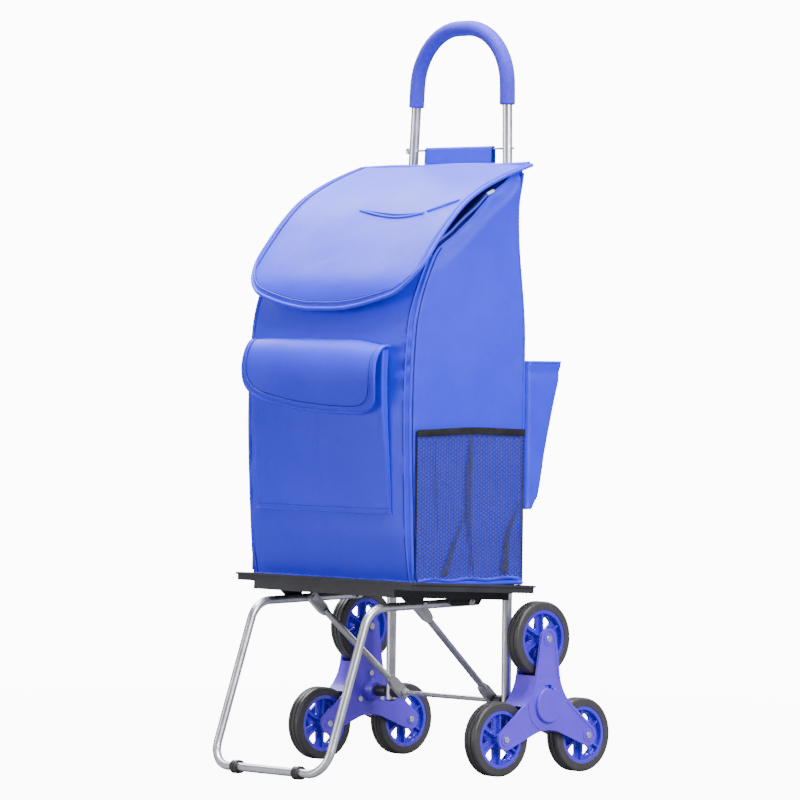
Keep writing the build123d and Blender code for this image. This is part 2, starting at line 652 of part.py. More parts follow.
# ---------------------------------------------------------------- bag
def bag_profile(inset):
    """Side outline of the bag, open edge on top, walls drawn in by an inset."""
    back = BAG_BACK_Y - inset
    base = BASE_GAP + inset
    low = [(back, deck_z(back) + base), (BAG_FRONT_Y + inset, deck_z(BAG_FRONT_Y) + base)]
    front = [(y + inset, z) for y, z in FRONT_SWELL]
    rim = [(max(y, MOUTH_FRONT_Y) + inset, z) for y, z in RIM_CURVE]
    rim[-1] = (back, RIM_CURVE[-1][1])
    return low + front + rim


def make_bag_body():
    """Open-topped bag; the hollow runs on upwards so that it cuts the mouth."""
    outer = slab(bag_profile(0), -BAG_HALF, BAG_HALF)
    hollow = bag_profile(BAG_WALL)
    walls = len(FRONT_SWELL) + 3
    lifted = [(y, z + MOUTH_LIFT) for y, z in hollow[walls - 1:]]
    inner = BAG_HALF - BAG_WALL
    return outer - slab(hollow[:walls] + lifted, -inner, inner)


def make_board():
    half, front, back, thick = BOARD
    floor = BASE_GAP + BAG_WALL + BOSS_GAP
    ends = [(front, deck_z(front) + floor), (back, deck_z(back) + floor)]
    upper = [(y, z + thick) for y, z in reversed(ends)]
    return slab(ends + upper, -half, half)


def make_front_pocket():
    (y0, y1), (z0, z1) = POCKET_Y, POCKET_Z
    inner = POCKET_HALF - CLOTH_T
    pocket = block(-POCKET_HALF, POCKET_HALF, y0, y1, z0, z1)
    return pocket - block(-inner, inner, y0 + CLOTH_T, y1 - CLOTH_T, z0 + CLOTH_T, z1)


def make_side_net(z0, z1, floor, rim):
    """Right-hand side pocket or its top tape: a shallow tray off the bag's side, open on top."""
    y0, y1 = NET_Y
    x0 = BAG_HALF + NET_GAP
    wall = block(x0, MESH_OUT, y0 - rim, y1 + rim, z0, z1)
    return wall - block(x0, MESH_OUT - NET_T, y0 + NET_T, y1 - NET_T, z0 + floor, z1)


def make_umbrella_pocket():
    """Tapered pocket behind the bag, and the cuff round its mouth."""
    x0, x1 = UMBRELLA_X
    front = UMBRELLA_FRONT_Y
    inside = (x0 + CLOTH_T, x1 - CLOTH_T)
    low_z, top_z = UMBRELLA_CURVE[0][1], UMBRELLA_CURVE[-1][1]
    wedge = [(front, low_z), *UMBRELLA_CURVE, (front, top_z)]
    hollow = [(y - CLOTH_T, z) for y, z in UMBRELLA_CURVE]
    hollow[0] = (hollow[0][0], low_z + 2 * CLOTH_T)
    hollow = [(front + CLOTH_T, hollow[0][1]), *hollow, (front + CLOTH_T, top_z)]
    pocket = slab(wedge, x0, x1) - slab(hollow, *inside)
    back = UMBRELLA_CURVE[-1][0]
    cuff = block(x0, x1, front, back, top_z, CUFF_TOP_Z)
    cuff -= block(*inside, front + CLOTH_T, back - CLOTH_T, top_z, CUFF_TOP_Z)
    return pocket, cuff


def make_tab():
    """Cloth tab over the wire between the tubes, down to the bag's back."""
    x0, x1 = TAB_X
    y = tube_y_at(WIRE_Z)
    outer = y - TAB_TURN_R
    tab = block(x0, x1, outer, outer + TAB_T, TAB_LOW_Z, WIRE_Z)
    tab += rod(TAB_TURN_R, x0, x1, y, WIRE_Z) - rod(WIRE_R + LOOP_GAP, x0, x1, y, WIRE_Z)
    return tab + block(x0, x1, UMBRELLA_FRONT_Y, outer + TAB_T, TAB_LOW_Z, TAB_LOW_Z + CLOTH_T)


def make_loop():
    """Right-hand cloth loop round the handle tube."""
    x, y = tube_x_at(LOOP_Z), tube_y_at(LOOP_Z)
    loop = Pos(x, y, LOOP_Z) * Cylinder(LOOP_R, 2 * LOOP_HALF)
    loop += block(x - LOOP_R, x + LOOP_R, UMBRELLA_FRONT_Y, y, LOOP_Z - LOOP_HALF, LOOP_Z + LOOP_HALF)
    lean = Rot(-math.degrees(math.atan(TUBE_LEAN_Y)), -math.degrees(math.atan(TUBE_LEAN_X)), 0)
    return loop - Pos(x, y, LOOP_Z) * (lean * Cylinder(TUBE_R + LOOP_GAP, 8 * LOOP_HALF))


def make_bag():
    save("bag_body", make_bag_body())
    save("base_board", make_board())
    save("front_pocket", make_front_pocket())
    nets = both(make_side_net(*NET_Z, NET_T, 0))
    tapes = both(make_side_net(NET_Z[1], NET_BAND_TOP, 0, OVERLAP))
    for index, side in enumerate(("right", "left")):
        save(f"mesh_pocket_{side}", nets[index])
        save(f"mesh_binding_{side}", tapes[index])
    pocket, cuff = make_umbrella_pocket()
    save("back_pocket", pocket)
    save("back_pocket_cuff", cuff)
    save("hanging_tab", make_tab())
    save("tube_loops", *both(make_loop()))


def curve_sheet(points, thickness, x0, x1):
    """Sheet under a curve of (y, z) points."""
    under = []
    for index, (y, z) in enumerate(points):
        before = points[max(index - 1, 0)]
        after = points[min(index + 1, len(points) - 1)]
        dy, dz = after[0] - before[0], after[1] - before[1]
        size = math.hypot(dy, dz)
        under.append((y + dz / size * thickness, z - dy / size * thickness))
    return slab(points + under[::-1], x0, x1)


def make_lid():
    save("lid", curve_sheet(LID_CURVE, LID_T, -LID_HALF, LID_HALF))
    inner, outer = LID_HALF + LID_BINDING_GAP, LID_HALF + LID_BINDING_OUT
    sides = both(curve_sheet(LID_CURVE, LID_T + 1, inner, outer))
    front = LID_CURVE[0][0] - 1
    hem = block(-LID_HALF, LID_HALF, front, front + LID_HEM_T, *LID_HEM_Z)
    save("lid_binding", *sides, hem)


def make_flap():
    """Front pocket flap: over the pocket's mouth and down its face."""
    save("front_pocket_flap", curve_sheet(FLAP_CURVE, FLAP_T, -FLAP_HALF, FLAP_HALF))


def make_drawcord():
    """Cord along the right-hand hem of the bag's mouth, ending in a short free tip."""
    off_x, off_y, off_z = CORD_OFF
    points = [(BAG_HALF + off_x, y + off_y, z + off_z) for y, z in RIM_CURVE[2:-1]]
    path = FilletPolyline(*points, radius=CORD_BEND)
    start = Plane(origin=path @ 0, z_dir=path % 0)
    save("drawcord", sweep(start * Circle(CORD_R), path))


os.makedirs("parts", exist_ok=True)
make_wheel_sets()
make_axle_line()
make_handle()
make_platform()
make_leg()
make_struts()
make_bag()
make_lid()
make_flap()
make_drawcord()
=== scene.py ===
"""Folding shopping trolley: fabric bag on a hinged platform, silver frame, stair-climbing wheels.

Lengths in the sheets of points are millimetres: x across, y behind the main axle, z above the floor.
"""

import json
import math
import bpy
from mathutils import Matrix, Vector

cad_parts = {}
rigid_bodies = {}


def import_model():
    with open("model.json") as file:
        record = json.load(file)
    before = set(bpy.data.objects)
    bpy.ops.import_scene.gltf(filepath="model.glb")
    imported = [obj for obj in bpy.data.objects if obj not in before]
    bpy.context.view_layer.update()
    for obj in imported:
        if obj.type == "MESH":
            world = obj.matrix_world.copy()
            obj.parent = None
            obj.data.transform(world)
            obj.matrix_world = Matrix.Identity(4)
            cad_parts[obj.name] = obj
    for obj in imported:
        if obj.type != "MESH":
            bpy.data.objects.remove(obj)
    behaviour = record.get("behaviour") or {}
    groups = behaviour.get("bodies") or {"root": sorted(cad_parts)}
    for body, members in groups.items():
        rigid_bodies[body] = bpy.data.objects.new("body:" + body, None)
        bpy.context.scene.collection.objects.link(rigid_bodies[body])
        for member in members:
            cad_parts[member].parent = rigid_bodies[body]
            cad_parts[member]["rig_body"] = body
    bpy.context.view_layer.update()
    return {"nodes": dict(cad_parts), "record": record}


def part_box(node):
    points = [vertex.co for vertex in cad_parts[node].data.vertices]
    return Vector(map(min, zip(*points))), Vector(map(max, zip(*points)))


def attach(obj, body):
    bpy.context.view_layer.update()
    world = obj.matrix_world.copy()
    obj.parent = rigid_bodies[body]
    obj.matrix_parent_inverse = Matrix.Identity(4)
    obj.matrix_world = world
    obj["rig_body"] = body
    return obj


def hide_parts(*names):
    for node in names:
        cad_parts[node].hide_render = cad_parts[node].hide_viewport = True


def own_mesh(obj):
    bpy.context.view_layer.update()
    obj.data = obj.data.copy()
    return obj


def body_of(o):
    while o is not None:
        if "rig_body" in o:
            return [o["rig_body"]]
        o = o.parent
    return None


bl_info = {
    "name": "Folding shopping trolley",
    "version": (1, 0, 0),
    "blender": (4, 5, 0),
    "location": "View3D > Sidebar > Trolley",
    "description": "Sews the bag and finishes the frame, platform and wheels of a shopping trolley",
    "category": "Object",
}

import bmesh
import bpy
from mathutils import Matrix, Vector, noise

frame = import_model()
MM = 0.001
AXLE_Y = (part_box("main_axle")[0].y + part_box("main_axle")[1].y) / 2
SLOT_OF = {row["node"]: row["material_slot"] for row in frame["record"]["subparts"]}
BAG_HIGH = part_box("bag_body")[1]
LID_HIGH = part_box("lid")[1]
POCKET_LOW, POCKET_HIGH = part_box("front_pocket")
HALF = BAG_HIGH.x / MM
BACK = (BAG_HIGH.y - AXLE_Y) / MM


def spot(x, y, z):
    """A point in metres from millimetres, with y measured back from the main axle."""
    return Vector((x * MM, y * MM + AXLE_Y, z * MM))


# ------------------------------------------------------------------ sizes and colours
def colour_setting(name, description, value):
    """A colour that the panel shows."""
    return bpy.props.FloatVectorProperty(
        name=name, description=description, subtype="COLOR", size=3, min=0, max=1, default=value
    )


def length_setting(name, description, value):
    """A length in metres that the panel shows."""
    return bpy.props.FloatProperty(name=name, description=description, unit="LENGTH", min=0, default=value)


class TrolleyColours(bpy.types.PropertyGroup):
    """Colours of the trolley's finishes."""

    bag: colour_setting("Bag fabric", "Royal blue polyester of the bag", (0.013, 0.013, 0.93))
    net: colour_setting("Side net", "Navy thread of the side pockets", (0.005, 0.006, 0.045))
    binding: colour_setting("Black binding", "Woven tape along the net's top", (0.0045, 0.0045, 0.007))
    spider: colour_setting("Wheel spider", "Violet-blue satin moulding", (0.105, 0.030, 0.80))
    hub: colour_setting("Wheel hub", "Glossy blue of the wheel centres", (0.050, 0.000, 0.72))
    tyre: colour_setting("Tyre", "Grey-black tyre rubber", (0.040, 0.039, 0.044))
    tube: colour_setting("Tube", "Satin silver of the frame tubes", (0.62, 0.63, 0.68))
    strut: colour_setting("Strut", "Greyer silver of the diagonal struts", (0.50, 0.51, 0.53))
    platform: colour_setting("Platform", "Moulded charcoal plastic", (0.011, 0.011, 0.018))
    grip: colour_setting("Grip foam", "Matt blue foam of the handle", (0.028, 0.010, 0.66))
    floor: colour_setting("Floor", "Studio floor and background", (0.22, 0.22, 0.23))


class TrolleySizes(bpy.types.PropertyGroup):
    """Sizes of the sewn details."""

    thread: length_setting("Yarn spacing", "Spacing of the bag's weave", 0.0007)
    net_cell: length_setting("Net cell", "Spacing of the holes in the side net", 0.0056)
    piping: length_setting("Piping", "Radius of the cord in the corner seams", 0.0021)
    stitch: length_setting("Stitch", "Length of one stitch", 0.0032)
    edge: length_setting("Moulding edge", "Rounding on moulded and cut edges", 0.0005)


def colours():
    return bpy.context.scene.trolley_colours


def sizes():
    return bpy.context.scene.trolley_sizes


# ------------------------------------------------------------------ shader writing
class Wire:
    """One shader socket; sums written with it add Math nodes."""

    def __init__(self, finish, socket):
        self.finish = finish
        self.socket = socket

    def math(self, operation, *terms):
        return self.finish.node("ShaderNodeMath", {"operation": operation}, dict(enumerate(terms)))

    def __add__(self, other):
        return self.math("ADD", self, other)

    def __radd__(self, other):
        return self.math("ADD", other, self)

    def __sub__(self, other):
        return self.math("SUBTRACT", self, other)

    def __rsub__(self, other):
        return self.math("SUBTRACT", other, self)

    def __mul__(self, other):
        return self.math("MULTIPLY", self, other)

    def __rmul__(self, other):
        return self.math("MULTIPLY", other, self)

    def __truediv__(self, other):
        return self.math("DIVIDE", self, other)

    def __pow__(self, other):
        return self.math("POWER", self, other)

    def sin(self):
        return self.math("SINE", self)

    def size(self):
        return self.math("ABSOLUTE", self)

    def lower_of(self, other):
        return self.math("MINIMUM", self, other)

    def upper_of(self, other):
        return self.math("MAXIMUM", self, other)

    def part(self):
        return self.math("FRACT", self)

    def ramp(self, low, high, to_low=0.0, to_high=1.0):
        """Smooth step from one value to another between two limits."""
        inputs = {0: self, 1: low, 2: high, 3: to_low, 4: to_high}
        return self.finish.node("ShaderNodeMapRange", {"interpolation_type": "SMOOTHSTEP"}, inputs)


class Finish:
    """A material, or the studio's surroundings, being written."""

    def __init__(self, name, owner=None):
        self.material = owner or bpy.data.materials.new(name)
        self.material.use_nodes = True
        self.tree = self.material.node_tree
        self.tree.nodes.clear()

    def node(self, kind, settings=None, inputs=None, out=0):
        """Add a node: its settings first, then the values or wires of its sockets."""
        made = self.tree.nodes.new(kind)
        for key, value in (settings or {}).items():
            setattr(made, key, value)
        for key, value in (inputs or {}).items():
            if isinstance(value, Wire):
                self.tree.links.new(value.socket, made.inputs[key])
            else:
                made.inputs[key].default_value = value
        return Wire(self, made.outputs[out])

    def place(self):
        """Position on the piece in metres."""
        return self.node("ShaderNodeTexCoord", out="Object")

    def cut(self):
        """Position on the cloth in metres, as it was cut."""
        return self.node("ShaderNodeUVMap", {"uv_map": "cut"})

    def axes(self, vector):
        split = self.node("ShaderNodeSeparateXYZ", inputs={0: vector})
        return [Wire(self, split.socket.node.outputs[index]) for index in range(3)]

    def stretched(self, vector, scale):
        return self.node("ShaderNodeMapping", inputs={"Vector": vector, "Scale": scale})

    def cloud(self, vector, scale, detail=3.0, rough=0.55):
        """Soft noise between 0 and 1; the scale is in patches per metre."""
        inputs = {"Vector": vector, "Scale": scale, "Detail": detail, "Roughness": rough}
        return self.node("ShaderNodeTexNoise", inputs=inputs)

    def cells(self, vector, scale, feature="F1"):
        return self.node("ShaderNodeTexVoronoi", {"feature": feature}, {"Vector": vector, "Scale": scale})

    def tint(self, amount, first, second):
        """Mix of two colours."""
        inputs = {0: amount, 6: self.paint(first), 7: self.paint(second)}
        return self.node("ShaderNodeMix", {"data_type": "RGBA"}, inputs, out=2)

    def paint(self, colour):
        return colour if isinstance(colour, Wire) else (*colour[:3], 1.0)

    def relief(self, height, depth, under=None):
        """Bump from a height of 0 to 1, with its depth in metres."""
        inputs = {"Height": height, "Distance": depth, "Strength": 1.0}
        if under is not None:
            inputs["Normal"] = under
        return self.node("ShaderNodeBump", inputs=inputs)

    def surface(self, **sockets):
        """Principled surface; socket names have underscores for spaces."""
        inputs = {key.replace("_", " "): value for key, value in sockets.items()}
        inputs["Base Color"] = self.paint(inputs["Base Color"])
        shader = self.node("ShaderNodeBsdfPrincipled", inputs=inputs)
        self.node_out(shader)
        return self.material

    def node_out(self, shader, kind="ShaderNodeOutputMaterial"):
        end = self.tree.nodes.new(kind)
        self.tree.links.new(shader.socket, end.inputs["Surface"])


def lighter(colour, amount):
    """The colour moved towards white, or towards black for a negative amount."""
    goal = 1.0 if amount > 0 else 0.0
    return tuple(value + (goal - value) * abs(amount) for value in colour)


# ------------------------------------------------------------------ finishes
def woven_cloth(name, colour, shine=0.42, crease=0.0010):
    """Coated plain-weave polyester with a soft sheen and faint creases."""
    finish = Finish(name)
    cut = finish.cut()
    across, along, _ = finish.axes(cut)
    beat = 2 * math.pi / sizes().thread
    weave = (across * beat).sin() * (along * beat).sin() * 0.5 + 0.5
    slub = finish.cloud(finish.stretched(cut, (1500, 60, 1)), 1.0, 2) * 0.5
    slub = slub + finish.cloud(finish.stretched(cut, (60, 1500, 1)), 1.0, 2) * 0.5
    patch = finish.cloud(finish.place(), 9.0, 3)
    shade = patch * 0.5 + slub * 0.5
    base = finish.tint(shade.ramp(0.3, 0.7), lighter(colour, -0.14), lighter(colour, 0.006))
    rough = shine + patch.ramp(0.3, 0.7, -0.05, 0.06) + weave * 0.06
    wrinkle = finish.cloud(finish.stretched(finish.place(), (1.0, 1.0, 0.55)), 26.0, 3, 0.5)
    normal = finish.relief(wrinkle, crease)
    normal = finish.relief(slub, 0.00006, normal)
    normal = finish.relief(weave, 0.00005, normal)
    return finish.surface(
        Base_Color=base, Roughness=rough, Normal=normal, Sheen_Weight=0.05, Sheen_Roughness=0.3,
        Specular_IOR_Level=0.4,
    )


def seam_cloth(name, colour, shine=0.5):
    """The bag's cloth on a narrow welt or tape, without the wide creases."""
    finish = Finish(name)
    place = finish.place()
    grain = finish.cloud(place, 900.0, 2)
    patch = finish.cloud(place, 30.0, 2)
    base = finish.tint(patch.ramp(0.3, 0.7), lighter(colour, -0.15), colour)
    normal = finish.relief(patch, 0.0004)
    normal = finish.relief(grain, 0.00008, normal)
    rough = shine + grain * 0.08
    return finish.surface(Base_Color=base, Roughness=rough, Normal=normal, Sheen_Weight=0.05)


def ribbed_tape(name, colour):
    """Grosgrain binding tape: fine ribs across and a matt face."""
    finish = Finish(name)
    across, along, _ = finish.axes(finish.cut())
    rib = (across * (2 * math.pi / 0.0011)).sin() * 0.5 + 0.5
    worn = finish.cloud(finish.place(), 60.0, 3)
    base = finish.tint(worn.ramp(0.35, 0.7), colour, lighter(colour, 0.01))
    normal = finish.relief(rib, 0.00014)
    rough = worn * 0.15 + 0.62
    return finish.surface(Base_Color=base, Roughness=rough, Normal=normal, Specular_IOR_Level=0.25)


def open_net(name, colour, open_share):
    """Net of round-cornered six-sided holes in two staggered rows."""
    finish = Finish(name)
    along, across, _ = finish.axes(finish.cut())
    cell = sizes().net_cell
    tall = cell * math.sqrt(3)

    def gap_to_hole(shift):
        side = ((across / cell + shift).part() - 0.5).size() * cell
        rise = ((along / tall + shift).part() - 0.5).size() * tall
        slant = side * 0.5 + rise * (math.sqrt(3) / 2)
        return side.upper_of(slant)

    nearest = gap_to_hole(0.0).lower_of(gap_to_hole(0.5))
    edge = cell / 2 * open_share
    thread = nearest.ramp(edge * 0.86, edge * 1.06)
    strand = finish.cloud(finish.place(), 500.0, 2)
    base = finish.tint(strand.ramp(0.3, 0.7), colour, lighter(colour, 0.04))
    normal = finish.relief(nearest.ramp(edge * 0.8, edge * 1.3), 0.0004)
    return finish.surface(Base_Color=base, Roughness=strand * 0.2 + 0.45, Normal=normal, Alpha=thread)


def drawn_metal(name, colour, shine, grain_axis):
    """Satin metal with drawing lines along the tube and faint handling marks."""
    finish = Finish(name)
    place = finish.place()
    lines = finish.cloud(finish.stretched(place, grain_axis), 1.0, 3)
    marks = finish.cloud(place, 35.0, 5, 0.6)
    base = finish.tint(marks.ramp(0.35, 0.7), lighter(colour, -0.10), lighter(colour, 0.10))
    rough = shine + lines * 0.10 + marks.ramp(0.4, 0.75, 0.0, 0.10)
    normal = finish.relief(lines, 0.00004)
    return finish.surface(Base_Color=base, Metallic=0.92, Roughness=rough, Normal=normal)


def moulded(name, colour, shine, texture_depth, gloss=0.0, scuff=0.04):
    """Moulded plastic: fine spark texture, slow colour drift and light scuffs."""
    finish = Finish(name)
    place = finish.place()
    spark = finish.cloud(place, 1800.0, 2)
    drift = finish.cloud(place, 14.0, 3)
    scratch = finish.cloud(finish.stretched(place, (260, 40, 260)), 1.0, 4, 0.7).ramp(0.62, 0.74)
    base = finish.tint(drift.ramp(0.3, 0.7), lighter(colour, -0.08), lighter(colour, 0.01))
    base = finish.tint(scratch * scuff, base, lighter(colour, 0.5))
    rough = shine + spark * 0.10 + scratch * 0.10 + drift.ramp(0.3, 0.7, -0.03, 0.03)
    normal = finish.relief(spark, texture_depth)
    return finish.surface(
        Base_Color=base, Roughness=rough, Normal=normal, Coat_Weight=gloss, Coat_Roughness=0.08
    )


def tyre_rubber(name, colour):
    """Grey-black rubber with mould texture and pale dust in the grain."""
    finish = Finish(name)
    place = finish.place()
    grain = finish.cloud(place, 700.0, 3)
    dust = finish.cloud(place, 60.0, 5, 0.65).ramp(0.45, 0.8)
    base = finish.tint(dust * 0.2, colour, lighter(colour, 0.06))
    rough = 0.36 + dust * 0.08 + grain * 0.08
    return finish.surface(Base_Color=base, Roughness=rough, Normal=finish.relief(grain, 0.00012))


def soft_foam(name, colour):
    """Closed-cell foam sleeve: tiny pores and a dusty sheen."""
    finish = Finish(name)
    place = finish.place()
    pores = finish.cells(place, 1300.0)
    mottled = finish.cloud(place, 260.0, 4)
    base = finish.tint(mottled.ramp(0.3, 0.7), lighter(colour, -0.12), lighter(colour, 0.01))
    normal = finish.relief(pores, 0.00022)
    rough = mottled * 0.08 + 0.62
    return finish.surface(
        Base_Color=base, Roughness=rough, Normal=normal, Sheen_Weight=0.08, Sheen_Roughness=0.5
    )


def braided_cord(name, colour):
    """Round cord with a fine diamond plait."""
    finish = Finish(name)
    place = finish.place()
    _, back, up = finish.axes(place)
    plait = ((back * 2600 + up * 2600).sin() * (back * 2600 - up * 2600).sin()) * 0.5 + 0.5
    # Painted shade and highlight: the plait's grooves are painted darker and its ridges a little lighter.
    base = finish.tint(plait.ramp(0.1, 0.9), lighter(colour, -0.3), lighter(colour, 0.08))
    return finish.surface(Base_Color=base, Roughness=plait * 0.1 + 0.5, Normal=finish.relief(plait, 0.0003))


BAG_CLOTH, POCKET_CLOTH, LINED_CLOTH, HEM_CLOTH = 0.0012, 0.0010, 0.0022, 0.0009
FINISHES = {}
SEWN = set()
FOLD_PLANE = spot(0, -9, 300)


def make_finishes():
    """Write every finish once, under its slot's name."""
    c = colours()
    FINISHES.update(
        bag_fabric=woven_cloth("bag_fabric", c.bag),
        edge_tape=seam_cloth("edge_tape", c.bag),
        # seam_shadow: the bag's blue darkened almost to black. As thin tubes beside the piping and along the
        # lid, flap and welt seams it is painted shadow in the seam grooves; it also colours the pocket's
        # stitches.
        seam_shadow=seam_cloth("seam_shadow_and_thread", lighter(c.bag, -0.75), 0.8),
        shaded_hem=seam_cloth("shaded_hem", lighter(c.bag, -0.8), 0.7),
        mesh_net=open_net("mesh_net", c.net, 0.80),
        folded_net=open_net("folded_net", c.net, 0.55),
        black_binding=ribbed_tape("black_binding", c.binding),
        cord_blue=braided_cord("cord_blue", lighter(c.bag, -0.2)),
        cord_tip=moulded("cord_tip", (0.8, 0.8, 0.82), 0.35, 0.00002),
        satin_tube=drawn_metal("satin_tube", c.tube, 0.26, (900, 900, 6)),
        strut_steel=drawn_metal("strut_steel", c.strut, 0.33, (900, 60, 60)),
        bright_steel=drawn_metal("bright_steel", lighter(c.tube, 0.1), 0.2, (400, 400, 400)),
        grip_foam=soft_foam("grip_foam", c.grip),
        black_plastic=moulded("black_plastic", lighter(c.platform, -0.2), 0.42, 0.00005),
        platform_plastic=moulded("platform_plastic", c.platform, 0.46, 0.00012, scuff=0.05),
        black_steel=moulded("black_steel", lighter(c.platform, -0.2), 0.32, 0.00004),
        board_plastic=moulded("board_plastic", c.platform, 0.4, 0.00004),
        foot_rubber=tyre_rubber("foot_rubber", lighter(c.tyre, -0.4)),
        spider_plastic=moulded("spider_plastic", c.spider, 0.36, 0.00005, 0.15),
        hub_plastic=moulded("hub_plastic", c.hub, 0.20, 0.00002, 0.6, 0.02),
        tyre_rubber=tyre_rubber("tyre_rubber", c.tyre),
    )


# ------------------------------------------------------------------ making pieces
def add_piece(name, mesh, finish, body, stands_for=()):
    """Put a mesh in the scene as a named piece that rides on a body."""
    piece = bpy.data.objects.new(name, mesh)
    bpy.context.scene.collection.objects.link(piece)
    mesh.materials.clear()
    mesh.materials.append(FINISHES[finish])
    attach(piece, body)
    if stands_for:
        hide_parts(*stands_for)
    SEWN.add(piece.name)
    return piece


def fold_sewn_pieces():
    """Let the bag fold flat against the tubes as the platform swings up."""
    for piece in list(bpy.context.scene.objects):
        if piece.name in SEWN and not piece.name.startswith(("tab_", "tube_loop")):
            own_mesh(piece)


def to_mesh(name, bm):
    """The finished bmesh as a smooth-shaded mesh."""
    mesh = bpy.data.meshes.new(name)
    bm.to_mesh(mesh)
    bm.free()
    mesh.shade_smooth()
    return mesh


def cloth_grid(columns, rows, shape, cut=None):
    """A grid bent to shape(u, v) for u, v from 0 to 1, with the flat cut in metres as its UVs."""
    bm = bmesh.new()
    bmesh.ops.create_grid(bm, x_segments=columns, y_segments=rows, size=0.5)
    layer = bm.loops.layers.uv.new("cut")
    for face in bm.faces:
        for loop in face.loops:
            u, v = loop.vert.co.x + 0.5, loop.vert.co.y + 0.5
            loop[layer].uv = cut(u, v) if cut else (u, v)
    for vert in bm.verts:
        vert.co = shape(vert.co.x + 0.5, vert.co.y + 0.5)
    return bm


def modifier(piece, kind, **settings):
    """Add a modifier with its settings to a piece."""
    added = piece.modifiers.new(kind.title(), kind)
    for key, value in settings.items():
        setattr(added, key, value)
    return added


def thicken(piece, thickness, offset=-1.0, smooth=0):
    """Give a sheet its cloth thickness and, if asked, a subdivision."""
    modifier(piece, "SOLIDIFY", thickness=thickness, offset=offset)
    if smooth:
        modifier(piece, "SUBSURF", levels=smooth, render_levels=smooth)


def tube_mesh(name, path, radius, closed=False, sides=4):
    """Round cord along a path of points, or with no radius its centre line, as a mesh."""
    curve = bpy.data.curves.new(name, "CURVE")
    curve.dimensions = "3D"
    curve.bevel_depth = radius
    curve.bevel_resolution = sides
    curve.use_fill_caps = radius > 0 and not closed
    curve.resolution_u = 3
    line = curve.splines.new("NURBS")
    line.points.add(len(path) - 1)
    for point, place in zip(line.points, path):
        point.co = (*place, 1.0)
    line.use_cyclic_u = closed
    line.use_endpoint_u = not closed
    line.order_u = 3
    holder = bpy.data.objects.new(name, curve)
    mesh = bpy.data.meshes.new_from_object(holder)
    bpy.data.objects.remove(holder)
    bpy.data.curves.remove(curve)
    mesh.shade_smooth()
    return mesh


def add_tube(name, path, radius, finish="edge_tape", body="frame", stands_for=(),
             closed=False):
    """Put a round cord along a path of points in the scene, as a named piece."""
    return add_piece(name, tube_mesh(name, path, radius, closed), finish, body, stands_for)


def sew_shut(bm):
    """Join the edges that meet round a wrapped panel, and turn its faces outwards."""
    bmesh.ops.remove_doubles(bm, verts=bm.verts, dist=0.00002)
    bmesh.ops.recalc_face_normals(bm, faces=bm.faces)


def stitch_row(name, path, lift, body, finish="edge_tape"):
    """A row of short raised stitches along a path; lift gives the direction off the cloth."""
    bm = bmesh.new()
    pitch = sizes().stitch * 1.45
    half = sizes().stitch / 2
    carried = 0.0
    for first, second in zip(path, path[1:]):
        run = (second - first).length
        along = (second - first).normalized()
        while carried < run:
            middle = first + along * carried + lift(first) * 0.0003
            side = along.cross(lift(first)).normalized()
            turn = Matrix((along, side, side.cross(along))).transposed().to_4x4()
            grow = Matrix.Diagonal((half, 0.00042, 0.00042, 1))
            made = bmesh.ops.create_uvsphere(bm, u_segments=6, v_segments=4, radius=1)
            spin = Matrix.Rotation(math.pi / 2, 4, "Y")
            placed = Matrix.Translation(middle) @ turn @ grow @ spin
            bmesh.ops.transform(bm, matrix=placed, verts=made["verts"])
            carried += pitch
        carried -= run
    return add_piece(name, to_mesh(name, bm), finish, body)


class Outline:
    """A smooth (y, z) line through a few points, read by height or by length."""

    def __init__(self, points):
        spans = list(zip(points, points[1:]))
        knots = [points[0], *points, points[-1]]
        self.points = []
        for index in range(len(spans)):
            before, start, end, after = (Vector(p) for p in knots[index : index + 4])
            for step in range(12):
                t = step / 12
                bend = 2 * start + (end - before) * t
                bend += (2 * before - 5 * start + 4 * end - after) * t * t
                bend += (3 * start - before - 3 * end + after) * t * t * t
                self.points.append(bend / 2)
        self.points.append(Vector(points[-1]))
        self.marks = [0.0]
        for first, second in zip(self.points, self.points[1:]):
            self.marks.append(self.marks[-1] + (second - first).length)
        self.length = self.marks[-1]

    def _read(self, keys, value, rows):
        value = min(max(value, keys[0]), keys[-1])
        for index in range(len(keys) - 1):
            if value <= keys[index + 1]:
                share = (value - keys[index]) / max(keys[index + 1] - keys[index], 1e-9)
                return rows[index].lerp(rows[index + 1], share) if hasattr(rows[0], "lerp") else (
                    rows[index] + (rows[index + 1] - rows[index]) * share
                )
        return rows[-1]

    def at(self, distance):
        """(y, z) at a distance along the line."""
        return self._read(self.marks, distance, self.points)

    def off(self, distance):
        """Outward (y, z) direction at a distance along the line."""
        run = self.at(distance + 2) - self.at(distance - 2)
        return Vector((-run.y, run.x)).normalized()

    def y_at(self, height):
        return self._read([p.y for p in self.points], height, self.points).x

    def z_at(self, y):
        return self._read([p.x for p in self.points], y, self.points).y

    def distance_at(self, height):
        return self._read([p.y for p in self.points], height, self.marks)


def ripple(point, size, seed=0.0):
    """Repeatable soft noise from -1 to 1; size is the width of one wave in metres."""
    return noise.noise(point / size + Vector((seed, seed * 0.7, -seed)))


def ease(value, low, high):
    """Smooth step from 0 to 1 between two limits."""
    share = min(max((value - low) / (high - low), 0.0), 1.0)
    return share * share * (3 - 2 * share)


